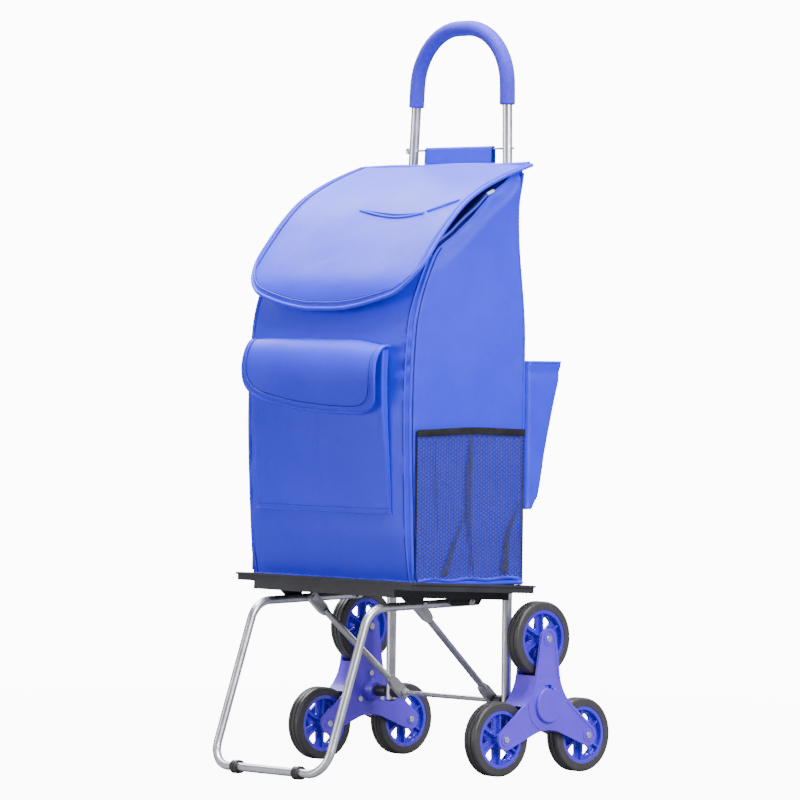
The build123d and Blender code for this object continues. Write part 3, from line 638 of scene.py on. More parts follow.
# ------------------------------------------------------------------ the bag
FRONT = Outline([
    (-219, 264), (-223, 300), (-227, 382), (-230, 470), (-230, 530), (-228, 576), (-223, 627),
    (-210, 670), (-188, 716), (-177, 727), (-154.6, 741.5), (-132, 758.8), (-109, 778), (-92.6, 791),
    (-75.8, 804.5), (-42, 825.6), (-30, 836), (-25, 841),
])
MOUTH_Z = 716.0
TOP_Z = 841.0
BASE_Z = 264.0
CORNER = 8.0
LEFT_SWELL = 5.0
TURNS = ((16, "back"), (4, "corner"), (26, "side"), (4, "corner"), (40, "front"),
         (4, "corner"), (26, "side"), (4, "corner"), (16, "back"))
COLUMNS = sum(count for count, _ in TURNS)
RIM_RIGHT, RIM_LEFT = (sum(count for count, _ in TURNS[:turns]) for turns in (3, 6))
ROWS = 92


def wall_point(column, front, back, half, bend):
    """(x, y) of one column of a round-cornered wall, counted from the middle of the back."""
    reach = half - bend
    corners = [(0, back), (reach, back), (half, back - bend), (half, front + bend), (reach, front),
               (-reach, front), (-half, front + bend), (-half, back - bend), (-reach, back), (0, back)]
    centres = {1: (reach, back - bend, 90), 3: (reach, front + bend, 0),
               5: (-reach, front + bend, -90), 7: (-reach, back - bend, 180)}
    for index, (count, _) in enumerate(TURNS):
        if column <= count or index == len(TURNS) - 1:
            share = column / count
            break
        column -= count
    if index in centres:
        x, y, start = centres[index]
        angle = math.radians(start - 90 * share)
        return x + bend * math.cos(angle), y + bend * math.sin(angle)
    (x0, y0), (x1, y1) = corners[index], corners[index + 1]
    return x0 + (x1 - x0) * share, y0 + (y1 - y0) * share


def height_share(z):
    """Swell of a side over its height: none at the base and the mouth, 1 half way."""
    return math.sin(math.pi * min(max((z - BASE_Z) / (MOUTH_Z - BASE_Z), 0), 1)) ** 0.7


def fullness(x, z):
    """How far the stuffed front panel swells forward of its corner seams, in millimetres."""
    across = 1 - min(abs(x) / HALF, 1) ** 6
    return 11.0 * across * ease(z, 268, 340) * (1 - ease(z, 600, 720))


def on_front(x, z, off):
    """A point in front of the bag's full front, by a distance in millimetres."""
    return spot(x, FRONT.y_at(z) - fullness(x, z) - off, z)


def slump(z):
    """How much the unstiffened back corners cave in at a height, from 0 to 1."""
    return ease(z, 600, 765) * (1 - 0.65 * ease(z, 780, 838))


def bag_shape(u, v):
    """Wall of the bag with its fullness, seam puckers and soft dents."""
    column = round(u * COLUMNS)
    z = BASE_Z + (TOP_Z - BASE_Z) * v
    front = FRONT.y_at(z)
    bend = min(CORNER, (BACK - front) * 0.3)
    x, y = wall_point(column, front, BACK - 1.0, HALF - 1.5, bend)
    here = spot(x, y, z)
    side = ease(abs(x), HALF - 16, HALF - 3)
    depth = (y - front) / (BACK - front)
    tall = height_share(z)
    if side > 0.99:
        belly = math.sin(math.pi * min(max(depth, 0), 1)) ** 0.8
        out = 1.2 * belly * tall + 1.6 * belly * ripple(here, 0.11, 3.1)
        near_seam = math.exp(-((depth * (BACK - front)) / 26) ** 2)
        out += near_seam * 1.6 * ripple(Vector((here.x, here.y * 0.4, here.z)), 0.022, 7.7)
        rolled = 1 - ease(FRONT.z_at(y) - z, -6, 34) if z > 700 else 0
        out -= rolled * 17.0 * belly ** 0.4 * (1 + 0.4 * ripple(here, 0.03, 2.2))
        out -= slump(z) * 9.0 * max(depth, 0) ** 2
        out += 1.5 * belly * ripple(Vector((here.x, here.y, here.z * 0.6)), 0.06, 4.9)
        if x < 0:
            out += LEFT_SWELL * (1 - depth) * tall
        x += min(out, 5.5) * (1 if x > 0 else -1)
        y -= slump(z) * 6.0 * max(depth, 0) ** 2
    else:
        width = math.cos(math.pi / 2 * min(abs(x) / HALF, 1)) ** 0.6
        sign = -1 if depth < 0.5 else 1
        out = 2.2 * width * ripple(here, 0.13, 5.0)
        if sign < 0:
            out += fullness(x, z)
            x += LEFT_SWELL * tall * min(x + HALF - 24, 0) / 24
        near = HALF - abs(x)
        edge = math.exp(-(near / 24) ** 2)
        out += edge * 1.4 * ripple(Vector((here.x * 0.4, here.y, here.z)), 0.024, 9.3)
        pull = math.exp(-((near - 13) / 13) ** 2) * math.exp(-((z - 566) / 44) ** 2)
        out += pull * 3.6 * math.sin((z + 0.8 * near) / 4.6 + 1.3 * math.sin(z / 23)) * ease(x, 0, 60)
        low = math.exp(-((z - BASE_Z) / 30) ** 2)
        out += low * 1.8 * ripple(Vector((here.x, here.y, here.z * 0.4)), 0.035, 1.3)
        limit = 15.0 if sign < 0 else 1.0
        y += sign * max(min(out, limit), -4.0)
        if sign > 0:
            y -= slump(z) * 6.0 * (abs(x) / HALF) ** 4
            x -= math.copysign(slump(z) * 9.0 * (abs(x) / HALF) ** 4, x)
    return spot(x, y, z)


def bag_cut(u, v):
    """Cut position of the bag's cloth, in metres."""
    round_trip = 4 * HALF + 2 * (BACK + 228)
    return u * round_trip * MM, (BASE_Z + (TOP_Z - BASE_Z) * v) * MM


def corner_seam(side, out, low, high, step=9.0):
    """Points up a front corner seam of the bag, lifted out from the cloth."""
    path = []
    z = low
    while z < high:
        front = FRONT.y_at(z)
        bend = min(CORNER, (BACK - front) * 0.3)
        angle = math.radians(-45)
        x = HALF - 1.5 - bend + (bend + out) * math.cos(angle)
        y = front + bend + (bend + out) * math.sin(angle)
        swell = LEFT_SWELL * height_share(z) if side < 0 else 0
        path.append(spot(side * (x + swell), y, z))
        z += step
    return path


def make_bag_walls():
    """Front, sides and back in one wrap of cloth, cut open at the bag's mouth."""
    bm = cloth_grid(COLUMNS, ROWS, bag_shape, bag_cut)
    layer = bm.loops.layers.uv["cut"]
    right, left = (bag_cut(column / COLUMNS, 0)[0] for column in (RIM_RIGHT, RIM_LEFT))
    opening = []
    for face in bm.faces:
        turn = sum(loop[layer].uv.x for loop in face.loops) / 4
        if right < turn < left and face.calc_center_median().z / MM >= MOUTH_Z:
            opening.append(face)
    bmesh.ops.delete(bm, geom=opening, context="FACES")
    sew_shut(bm)
    walls = add_piece("bag_walls", to_mesh("bag_walls", bm), "bag_fabric", "frame", stands_for=("bag_body",))
    thicken(walls, BAG_CLOTH, smooth=1)


def make_bag_base():
    """Bottom panel, under the walls and on the platform."""
    def shape(u, v):
        x = (2 * u - 1) * (HALF - 3)
        y = FRONT.y_at(BASE_Z) + 2 + (BACK - 4 - FRONT.y_at(BASE_Z)) * v
        return spot(x, y, BASE_Z + 1.2 + (1 - v) * 4.5)
    bm = cloth_grid(24, 16, shape, lambda u, v: (u * 0.33, v * 0.21))
    base = add_piece("bag_base", to_mesh("bag_base", bm), "bag_fabric", "frame")
    thicken(base, BAG_CLOTH)


def ring_path(z, out, step=2):
    """Points round the bag at one height."""
    path = []
    for column in range(0, COLUMNS, step):
        front = FRONT.y_at(z)
        x, y = wall_point(column, front - out, BACK - 1 + out * 0.3, HALF - 1.5 + out, CORNER)
        path.append(spot(x, y, z + 2.5 * (BACK - y) / 210))
    return path


def make_piping():
    """Welts of the corner seams, the mouth's hem and the bottom edge."""
    radius = sizes().piping
    for side, word in ((1, "right"), (-1, "left")):
        main = corner_seam(side, 0.8, 266, 729)
        add_tube(f"corner_piping_{word}", main, radius)
        fold = [p + Vector((-side * 0.0062, -0.0004, 0)) for p in corner_seam(side, 0.4, 266, 712)]
        fold = [on_front(p.x / MM, p.z / MM, 0.3) for p in fold]
        add_tube(f"corner_fold_{word}", fold, radius * 0.62)
        # The groove and shade tubes are thin dark cords: painted shadow in the corner seam's grooves beside
        # the piping.
        groove = [p + Vector((-side * 0.0024, 0.0002, 0)) for p in fold]
        add_tube(f"corner_groove_shadow_{word}", groove, radius * 0.4, "seam_shadow")
        shade = [p + Vector((side * 0.0018, 0.0030, 0)) for p in corner_seam(side, 0.5, 266, 727)]
        add_tube(f"corner_shade_{word}", shade, radius * 0.45, "seam_shadow")
        column = RIM_RIGHT if side > 0 else RIM_LEFT
        rim = [bag_shape(column / COLUMNS, (z - BASE_Z) / (TOP_Z - BASE_Z)) for z in range(720, 840, 6)]
        add_tube(f"rim_hem_{word}", rim, radius * 0.8)
        back = [spot(side * (HALF - 3.0 - 8.5 * slump(z)), BACK - 3.4 - 6.0 * slump(z), z)
                for z in range(268, 838, 12)]
        add_tube(f"back_piping_{word}", back, radius * 0.8)
    base = ring_path(BASE_Z + 1.6, 0.6)
    roll = [p + Vector((0, 0, 0.0012 * ripple(p, 0.03, 4.0))) for p in base]
    add_tube("bottom_roll", roll, 0.0032, closed=True)
    mouth_y = FRONT.y_at(MOUTH_Z)
    hem = [spot(x, mouth_y - 1.0, MOUTH_Z + 1.5 * math.cos(x / 40)) for x in range(-160, 161, 16)]
    add_tube("mouth_hem", hem, 0.0026)
    top = [spot(x, BACK - 1.6, TOP_Z + 1.6 + 0.6 * math.sin(x / 23)) for x in range(-168, 169, 12)]
    add_tube("back_hem", top, 0.0046)


# ------------------------------------------------------------------ lid
LID = Outline([
    (-245, 642), (-240, 664), (-226, 690), (-192, 732), (-148, 778), (-110, 805), (-62, 828), (-16, 846),
])
LID_EDGE = LID_HIGH.x / MM


def hem_height(x):
    """Height of the lid's front hem, lower in the middle and swept up at the round corners."""
    rise = 18 * (x / 126) ** 2
    past = max(abs(x) - (LID_EDGE - 42), 0)
    return 641 + rise + 42 - math.sqrt(max(42 * 42 - past * past, 0))


def lid_point(x, distance, lift=0.0):
    """A point on the lid: across, along from the front, and off its face."""
    y, z = LID.at(distance)
    out_y, out_z = LID.off(distance)
    here = spot(x, y, z)
    edge = abs(x) / LID_EDGE
    front = 1 - ease(distance, 0, 150)
    bump = 1.3 * ripple(here, 0.12, 6.1) + 0.7 * ripple(here, 0.05, 8.4)
    droop = edge ** 4 * (2.0 - 5.0 * math.sin(math.pi * min(distance / LID.length, 1)) * (1 - front))
    curl = 2.2 * front * edge ** 3 + 1.2 * front * math.sin(x / 31)
    off = bump - droop + curl * 0.5 + lift
    return here + Vector((0, out_y, out_z)) * (off * MM)


def lid_shape(u, v):
    """The lid between its swept hem and the hinge."""
    x = (2 * u - 1) * LID_EDGE
    start = LID.distance_at(hem_height(x))
    return lid_point(x, start + (LID.length - start) * v)


def lid_edge_path(inset=0.0):
    """Points round the lid's free edge, from the back left round the front to the back right."""
    reach = LID_EDGE - inset
    side = [LID.length - step * 8.0 for step in range(int((LID.length - 78) / 8.0))]
    left = [lid_point(-reach, distance) for distance in side]
    front = []
    for step in range(61):
        x = -reach * math.cos(math.pi * step / 60)
        front.append(lid_point(x, LID.distance_at(hem_height(x)) + inset))
    right = [lid_point(reach, distance) for distance in reversed(side)]
    return left + front + right


def make_lid():
    """Hanging lid with its bound, folded and stitched edge."""
    bm = cloth_grid(72, 72, lid_shape, lambda u, v: (u * 0.352, v * 0.31))
    lid = add_piece("lid_panel", to_mesh("lid_panel", bm), "bag_fabric", "lid", stands_for=("lid",))
    thicken(lid, LINED_CLOTH, smooth=1)
    edge = lid_edge_path()
    down = [p + Vector((0, 0, -0.0012)) for p in edge]
    rim = add_tube("lid_edge_binding", down, 0.0027, body="lid", stands_for=("lid_binding",))
    inner = [p + Vector((0, 0, 0.0006)) for p in lid_edge_path(7.0)]
    add_tube("lid_edge_fold", inner, 0.0013, body="lid")
    # A thin dark tube along the seam: painted shadow inside the folded edge.
    seam = [p + Vector((0, 0, 0.0002)) for p in lid_edge_path(9.4)]
    add_tube("lid_edge_seam_shadow", seam, 0.0008, "seam_shadow", "lid")


def make_lid_welt():
    """Closed welt across the upper part of the lid."""
    line = [(-31, 778.6), (8, 773.5), (51, 769), (82, 769.5), (107, 772.5)]
    second = [(112, 775), (130, 781.5), (158, 789.5)]
    for number, (points, gap) in enumerate(((line, 3.0), (second, 2.2))):
        middle = len(points) - 1
        for side in (-1, 1):
            path = []
            for index, (x, z) in enumerate(points):
                spread = gap * math.sin(math.pi * (0.06 + 0.88 * index / middle))
                path.append(lid_point(x, LID.distance_at(z) + side * spread, 0.5))
            add_tube(f"lid_welt_{number}_{'upper' if side > 0 else 'lower'}", path, 0.0018, body="lid")
        # The slit is a thin dark tube: painted shadow in the welt's opening.
        slit = [lid_point(x, LID.distance_at(z), 0.3) for x, z in points]
        add_tube(f"lid_welt_{number}_slit", slit, 0.0012, "seam_shadow", "lid")


# ------------------------------------------------------------------ front pocket and flap
GUSSET = ((139.5, 0.05), (136.5, 0.3), (133.5, 0.55), (139.5, 0.97), (137.5, 1.1), (128.0, 1.0))
GUSSET_SHARE = 0.09
POCKET_X = -3.0


def pocket_section(u):
    """Across the pocket: distance from the middle, and how far out as a share of the depth."""
    side = -1 if u < 0.5 else 1
    near = min(u, 1 - u) / GUSSET_SHARE
    if near >= 1:
        x = GUSSET[-1][0] * (u - 0.5) / (0.5 - GUSSET_SHARE)
        return x, 1.0
    index = min(int(near * (len(GUSSET) - 1)), len(GUSSET) - 2)
    share = near * (len(GUSSET) - 1) - index
    (x0, out0), (x1, out1) = GUSSET[index], GUSSET[index + 1]
    return side * (x0 + (x1 - x0) * share), out0 + (out1 - out0) * share


def pocket_shape(u, v):
    """Patch pocket, flat at its foot, that stands out on a folded gusset towards its mouth."""
    x, share = pocket_section(u)
    z = POCKET_LOW.z / MM + (586 - POCKET_LOW.z / MM) * v
    here = spot(x, -232, z)
    depth = 2.0 + 7.5 * ease(z, 366, 540)
    inner = max(1 - (x / 125) ** 2, 0)
    depth += inner * (1.5 * math.sin(math.pi * v) + 1.6 * ripple(here, 0.10, 2.7) * ease(v, 0.02, 0.25))
    x += POCKET_X + (-6.5 * ease(z, 375, 590) if x > 0 else 4.0)
    return on_front(x, z, 1.6 + depth * share)


def make_front_pocket():
    """Patch pocket with its bottom seam and a row of stitches."""
    bm = cloth_grid(110, 60, pocket_shape, lambda u, v: (u * 0.3, v * 0.22))
    pocket = add_piece("front_pocket_panel", to_mesh("front_pocket_panel", bm), "bag_fabric", "frame",
                       stands_for=("front_pocket",))
    thicken(pocket, POCKET_CLOTH, smooth=1)
    low = POCKET_LOW.z / MM
    reach = POCKET_HIGH.x / MM
    seam = [spot(x + POCKET_X, FRONT.y_at(low) - fullness(x, low) - 2.6, low + 0.3)
            for x in range(-140, 141, 8)]
    add_tube("pocket_bottom_seam", seam, 0.0012)
    row = [pocket_shape(0.5 + x / reach * 0.47, 0.03) + Vector((0, -0.0004, 0))
           for x in range(-138, 139, 4)]
    stitch_row("pocket_stitches", row, lambda p: Vector((0, -1, 0)), "frame", "seam_shadow")


FLAP = Outline([(-258, 499), (-262, 520), (-265, 545), (-264, 566), (-258, 584), (-248, 596), (-237, 599)])
FLAP_LEFT, FLAP_RIGHT = -151.0, 137.0
FLAP_HEM = ((-151, 58), (-148.5, 44), (-143, 34), (-136, 28), (-126, 22.5), (-112, 17.5), (-90, 12.5),
            (-60, 8), (-30, 4.5), (0, 2.5), (35, 0.5), (70, -0.5), (90, -0.5), (102, 0.5), (112, 3),
            (121, 8), (128, 15), (133, 26), (136, 40), (137, 54))


def flap_start(x):
    """Distance of the flap's lower edge, deeper at its right end and round at both corners."""
    for (x0, rise0), (x1, rise1) in zip(FLAP_HEM, FLAP_HEM[1:]):
        if x <= x1:
            return rise0 + (rise1 - rise0) * (x - x0) / (x1 - x0)
    return FLAP_HEM[-1][1]


def flap_point(x, distance, lift=0.0):
    """A point on the flap: across, along from its lower edge, and off its face."""
    y, z = FLAP.at(distance)
    out_y, out_z = FLAP.off(distance)
    share = (x - FLAP_LEFT) / (FLAP_RIGHT - FLAP_LEFT)
    here = spot(x, y, z)
    body = math.sin(math.pi * min(max(distance / FLAP.length, 0), 1))
    puff = 1.6 * body * math.sin(math.pi * share) ** 0.5
    loose = 1 - ease(distance, 0, 60)
    wave = 1.3 * ripple(here, 0.07, 3.3) + 1.2 * loose * math.sin(x / 27 + 0.6)
    off = puff + wave + lift
    forward = 12.0 * (share - 0.5) * (0.35 + 0.65 * body)
    drop = -8.0 * ease(share, 0.72, 1.0) * (1 - body) * ease(distance, 60, 110)
    return spot(x, y - forward + out_y * off, z + drop + out_z * off)


def flap_shape(u, v):
    """The flap between its round-cornered hem and its fold."""
    x = FLAP_LEFT + (FLAP_RIGHT - FLAP_LEFT) * u
    start = flap_start(x)
    return flap_point(x, start + (FLAP.length - start) * v)


def make_flap():
    """Flap over the front pocket, with its bound edge and seam."""
    bm = cloth_grid(90, 36, flap_shape, lambda u, v: (u * 0.292, v * 0.13))
    flap = add_piece("pocket_flap", to_mesh("pocket_flap", bm), "bag_fabric", "pocket_flap",
                     stands_for=("front_pocket_flap",))
    thicken(flap, LINED_CLOTH, smooth=1)
    middle, reach = (FLAP_LEFT + FLAP_RIGHT) / 2, (FLAP_RIGHT - FLAP_LEFT) / 2
    # The last of these lines is a thin dark tube: painted shadow along the flap's seam.
    for name, inset, radius, lift, finish in (("flap_binding", 0.3, 0.0019, -0.6, "edge_tape"),
                                              ("flap_fold", 7.5, 0.0008, 0.5, "edge_tape"),
                                              ("flap_seam_shadow", 9.3, 0.0006, 0.2, "seam_shadow")):
        share = (reach - inset) / reach
        rises = [flap_start(FLAP_LEFT), flap_start(FLAP_RIGHT)]
        left = [flap_point(middle - reach * share, FLAP.length - 6 - step * 5.0, lift)
                for step in range(int((FLAP.length - 6 - rises[0]) / 5))]
        low = []
        for step in range(71):
            x = -reach * math.cos(math.pi * step / 70)
            low.append(flap_point(middle + x * share, flap_start(middle + x) + inset, lift))
        right = [flap_point(middle + reach * share, FLAP.length - 6 - step * 5.0, lift)
                 for step in reversed(range(int((FLAP.length - 6 - rises[1]) / 5)))]
        add_tube(name, left + low + right, radius, finish, "pocket_flap")


# ------------------------------------------------------------------ side nets
NET_LOW, NET_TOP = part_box("mesh_pocket_right")
NET_FRONT = (NET_LOW.y - AXLE_Y) / MM
NET_BACK = (NET_TOP.y - AXLE_Y) / MM
NET_BOTTOM, NET_TALL = 273.0, 198.0
# Each pleat runs through (y, z, half width), from its top down.
NET_FOLDS = (
    ((-121, 470, 2.0), (-124, 430, 3.6), (-126, 390, 4.8), (-125, 355, 3.0), (-119, 315, 1.6),
     (-115, 278, 1.2)),
    ((-131, 368, 0.8), (-140, 345, 1.8), (-151, 322, 3.0), (-160, 298, 4.4), (-168, 277, 6.0)),
    ((-27, 380, 0.8), (-38, 358, 2.2), (-48, 338, 4.0), (-53, 308, 6.0), (-55, 279, 6.4)),
    ((-189, 462, 0.6), (-187, 420, 1.2), (-184, 376, 0.9), (-182, 340, 0.5)),
)


def net_out(y, z):
    """How far the net stands off the bag's side."""
    run = (y - NET_FRONT) / (NET_BACK - NET_FRONT)
    rise = (z - NET_BOTTOM) / NET_TALL
    full = (math.sin(math.pi * min(max(run, 0), 1)) ** 0.5) * (0.35 + 0.65 * math.sin(math.pi * rise * 0.8))
    here = Vector((0, y * MM, z * MM))
    off = 2.4 + 3.4 * full + 1.3 * ripple(here, 0.05, 1.9)
    for fold in NET_FOLDS[:3]:
        for fy, fz, width in fold:
            off += 0.35 * math.exp(-((y - fy) / 7) ** 2 - ((z - fz) / 24) ** 2)
    return max(min(off, 8.2), 1.4)


def make_net(side, word):
    """Net pocket on one side of the bag, with its pleats and tape."""
    def shape(u, v):
        y = NET_FRONT + (NET_BACK - NET_FRONT) * u
        z = NET_BOTTOM + (NET_TALL + 1) * v
        return spot(side * (HALF + net_out(y, z)), y, z)
    bm = cloth_grid(64, 64, shape, lambda u, v: (u * 0.199, v * 0.199))
    if side < 0:
        bmesh.ops.reverse_faces(bm, faces=bm.faces)
    add_piece(f"net_{word}", to_mesh("net", bm), "mesh_net", "frame", stands_for=(f"mesh_pocket_{word}",))
    for number, fold in enumerate(NET_FOLDS):
        make_net_fold(side, f"net_fold_{word}_{number}", fold)
    make_net_binding(side, word)


def make_net_fold(side, name, fold):
    """A pleat where the net lies double."""
    line = Outline([(y, -z) for y, z, _ in fold])

    def width_at(z):
        pairs = [(-p[1], p[2]) for p in fold]
        for (z0, w0), (z1, w1) in zip(pairs, pairs[1:]):
            if z <= z1:
                return w0 + (w1 - w0) * (z - z0) / (z1 - z0)
        return pairs[-1][1]

    def shape(u, v):
        y, z = line.at(line.length * v)
        y += (2 * u - 1) * width_at(z)
        return spot(side * (HALF + net_out(y, -z) + 0.5 * math.sin(math.pi * u) + 0.25), y, -z)
    bm = cloth_grid(6, 40, shape, lambda u, v: (u * 0.02, v * 0.2))
    if side > 0:
        bmesh.ops.reverse_faces(bm, faces=bm.faces)
    add_piece(name, to_mesh(name, bm), "folded_net", "frame")


def make_net_binding(side, word):
    """Folded tape along the net's top and down its two sides."""
    def band(u, v):
        y = NET_FRONT - 1 + (NET_BACK - NET_FRONT + 2) * u
        z = 469.5 + 9.5 * v + 1.4 * math.cos(math.pi * (2 * u - 1))
        return spot(side * (HALF + net_out(y, 470) + 0.6), y, z)
    bm = cloth_grid(48, 4, band, lambda u, v: (u * 0.2, v * 0.01))
    if side < 0:
        bmesh.ops.reverse_faces(bm, faces=bm.faces)
    tape = add_piece(f"net_tape_{word}", to_mesh("net_tape", bm), "black_binding", "frame",
                     stands_for=(f"mesh_binding_{word}",))
    thicken(tape, BAG_CLOTH, offset=0.0)
    modifier(tape, "BEVEL", width=0.0005, segments=2, limit_method="ANGLE")
    for where, y in (("front", NET_FRONT - 0.5), ("back", NET_BACK)):
        path = [spot(side * (HALF + net_out(y, z) * 0.55), y, z) for z in range(274, 476, 10)]
        add_tube(f"net_edge_{where}_{word}", path, 0.0011, "black_binding")
    low = [spot(side * (HALF + 1.2 + 1.2 * ripple(spot(0, y, 0), 0.02, 6)), y, 272 + 1.5 * math.sin(y / 11))
           for y in range(-216, -20, 9)]
    add_tube(f"net_foot_{word}", low, 0.0028)


# ------------------------------------------------------------------ back pocket, tab, loops, cord
UMBRELLA_BACK = Outline([
    (-2, 361), (8, 375), (17, 390), (27, 445), (36.5, 484), (46, 520), (54, 548), (57, 562), (57, 571),
])


def make_back_pocket():
    """Narrow pocket for an umbrella behind the bag's right corner."""
    low, high = 366.0, 570.0
    x_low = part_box("back_pocket")[0].x / MM
    x_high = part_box("back_pocket")[1].x / MM
    middle, half = (x_low + x_high) / 2, (x_high - x_low) / 2

    def shape(u, v):
        z = low + (high - low) * v
        reach = UMBRELLA_BACK.y_at(z)
        front = -12.0
        bend = min(8.0, (reach - front) * 0.4)
        x, y = wall_point(round(u * COLUMNS), front, reach, half, bend)
        here = spot(x, y, z)
        pinch = 1 + 0.05 * ripple(here, 0.03, 2.0)
        gather = math.exp(-((z - 557) / 6) ** 2)
        x *= pinch * (1 - 0.08 * gather)
        if y > front + 4:
            y += 1.4 * ripple(here, 0.04, 5.5) - 2.0 * gather
        return spot(middle + max(min(x, half), -half), y, z)
    bm = cloth_grid(COLUMNS, 44, shape, lambda u, v: (u * 0.2, v * 0.2))
    sew_shut(bm)
    pocket = add_piece("umbrella_pocket", to_mesh("umbrella_pocket", bm), "bag_fabric", "frame",
                       stands_for=("back_pocket", "back_pocket_cuff"))
    thicken(pocket, BAG_CLOTH, smooth=1)
    rim = []
    for column in range(0, COLUMNS, 3):
        x, y = wall_point(column, -12.0, 56.5, half - 0.5, 8.0)
        rim.append(spot(middle + x, y, high))
    add_tube("umbrella_pocket_hem", rim, 0.0019, closed=True)


def make_tab():
    """Hanging tab that wraps the wire between the tubes."""
    low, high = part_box("hanging_tab")
    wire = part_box("tab_wire")
    y_mid = ((wire[0].y + wire[1].y) / 2 - AXLE_Y) / MM
    z_mid = high.z / MM - 3.6
    line = Outline([(-12.4, 824), (-9, 829), (y_mid - 4.6, 838), (y_mid - 4.2, 852), (y_mid - 3.8, z_mid)])
    turn = 3.8 * math.pi

    def shape(u, v):
        x = low.x / MM + (high.x - low.x) / MM * u
        distance = v * (line.length + turn + 30)
        if distance < line.length:
            y, z = line.at(distance)
        elif distance < line.length + turn:
            angle = (distance - line.length) / 3.8
            y, z = y_mid - 3.8 * math.cos(angle), z_mid + 3.8 * math.sin(angle)
        else:
            y, z = y_mid + 3.8, z_mid - (distance - line.length - turn)
        here = spot(x, y, z)
        return here + Vector((0, 0.0007 * ripple(here, 0.03, 4.4), 0))
    bm = cloth_grid(40, 60, shape, lambda u, v: (u * 0.138, v * 0.09))
    tab = add_piece("tab_cloth", to_mesh("tab_cloth", bm), "bag_fabric", "frame", stands_for=("hanging_tab",))
    thicken(tab, HEM_CLOTH, offset=0.0)


def make_loops():
    """Cloth loops that hold the bag to the tubes."""
    low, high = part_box("tube_loops")
    for side, word in ((1, "right"), (-1, "left")):
        x_mid = side * (high.x / MM - 10)
        z_mid = (low.z + high.z) / 2 / MM
        y_mid = (high.y - AXLE_Y) / MM - 10

        def shape(u, v):
            z = z_mid + 10.5 * (2 * v - 1) + 0.8 * math.sin(7 * u)
            run = u * (2 * 22 + 8.6 * math.pi)
            if run < 22:
                x, y = 8.6, y_mid - 22 + run
            elif run < 22 + 8.6 * math.pi:
                angle = (run - 22) / 8.6
                x, y = 8.6 * math.cos(angle), y_mid + 8.6 * math.sin(angle)
            else:
                x, y = -8.6, y_mid - (run - 22 - 8.6 * math.pi)
            return spot(x_mid + x, max(y, BACK - 0.5), z)
        bm = cloth_grid(48, 10, shape, lambda u, v: (u * 0.07, v * 0.02))
        name = f"tube_loop_{word}"
        stands = ("tube_loops",) if side > 0 else ()
        loop = add_piece(name, to_mesh(name, bm), "bag_fabric", "frame", stands_for=stands)
        thicken(loop, 0.0014, offset=0.0)


CORD_ACROSS = 0.0036


def make_drawcord():
    """Cord along the right side of the mouth, with its knotted tip, and the gathered collar."""
    heights = [730, 742, 754, 766, 778, 788, 797]
    path = []
    for index, z in enumerate(heights):
        sway = 2.0 * math.sin(index * 1.9)
        path.append(spot(HALF - 13.0 + 1.2 * index, FRONT.y_at(z) + sway, z + 3.5))
    cord = add_tube("mouth_cord", path, CORD_ACROSS / 2, "cord_blue",
                    stands_for=("drawcord",))
    line = [vert.co.copy() for vert in tube_mesh("cord_line", path, 0).vertices]
    tip = [path[-1] + Vector(step) for step in ((0, 0, 0), (0.0005, 0.006, 0.0035), (0.0006, 0.011, 0.005))]
    end = add_tube("mouth_cord_tip", tip, 0.0022, "cord_tip")

    def shape(u, v):
        z = 722 + (836 - 722) * u
        y = FRONT.y_at(z) + 2
        crinkle = math.sin(u * 52) * (1.6 + ripple(Vector((u * 3, 0, 0)), 0.4, 2))
        return spot(HALF - 19 - 9 * v + crinkle * 0.5, y + crinkle, z - 12 + 8 * v + crinkle * v)
    for side, word in ((1, "right"), (-1, "left")):
        mirror = Vector((side, 1, 1))
        bm = cloth_grid(90, 8, lambda u, v: mirror * shape(u, v), lambda u, v: (u * 0.2, v * 0.02))
        collar = add_piece(f"mouth_collar_{word}", to_mesh("collar", bm), "shaded_hem", "frame")
        thicken(collar, HEM_CLOTH)


# ------------------------------------------------------------------ frame, platform and wheels
def refined(node, edge=None, angle=38):
    """A cleaned copy of a metal or moulded part, with smooth faces and softly broken edges."""
    source = frame["nodes"][node]
    bm = bmesh.new()
    bm.from_mesh(source.data)
    bmesh.ops.remove_doubles(bm, verts=bm.verts, dist=0.000004)
    bmesh.ops.dissolve_limit(bm, angle_limit=math.radians(0.6), verts=bm.verts, edges=bm.edges)
    mesh = to_mesh(f"{node}_finished", bm)
    mesh.set_sharp_from_angle(angle=math.radians(angle))
    piece = bpy.data.objects.new(f"{node}_finished", mesh)
    bpy.context.scene.collection.objects.link(piece)
    mesh.materials.clear()
    mesh.materials.append(FINISHES[SLOT_OF[node]])
    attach(piece, body_of(source)[0])
    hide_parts(node)
    width = sizes().edge if edge is None else edge
    if width:
        modifier(piece, "BEVEL", width=width, segments=2, limit_method="ANGLE",
                 angle_limit=math.radians(angle), harden_normals=False)
    return piece


def nodes_of(*words):
    """Names of the frame's parts that start with one of the words."""
    return [name for name in frame["nodes"] if name.startswith(words)]


def make_frame_parts():
    """Handle, leg, struts, axle and their fasteners."""
    for name in nodes_of("handle_tube", "leg_loop", "strut_right", "strut_left", "main_axle", "tab_wire"):
        refined(name, 0.0002)
    for name in nodes_of("handle_grip"):
        refined(name, 0.002)
    for name in nodes_of("tube_end", "hinge_", "bracket_", "axle_", "leg_bolt", "foot_clips", "strut_rivet"):
        refined(name, 0.00025)


def make_platform_parts():
    """Moulded platform and the bag's base board."""
    refined("platform_deck", 0.0006)
    refined("base_board", 0.0006)
    SEWN.add("base_board_finished")


def make_wheel_parts():
    """Stair-climbing spiders, hubs, tyres and their pins."""
    for name in nodes_of("spider_shell", "spider_plate", "hub_cap"):
        refined(name, 0.0005)
    for name in nodes_of("spider_bush", "wheel_pins", "plate_screws"):
        refined(name, 0.0002)
    for name in nodes_of("wheel_hub", "tyre_"):
        refined(name, 0.0003)


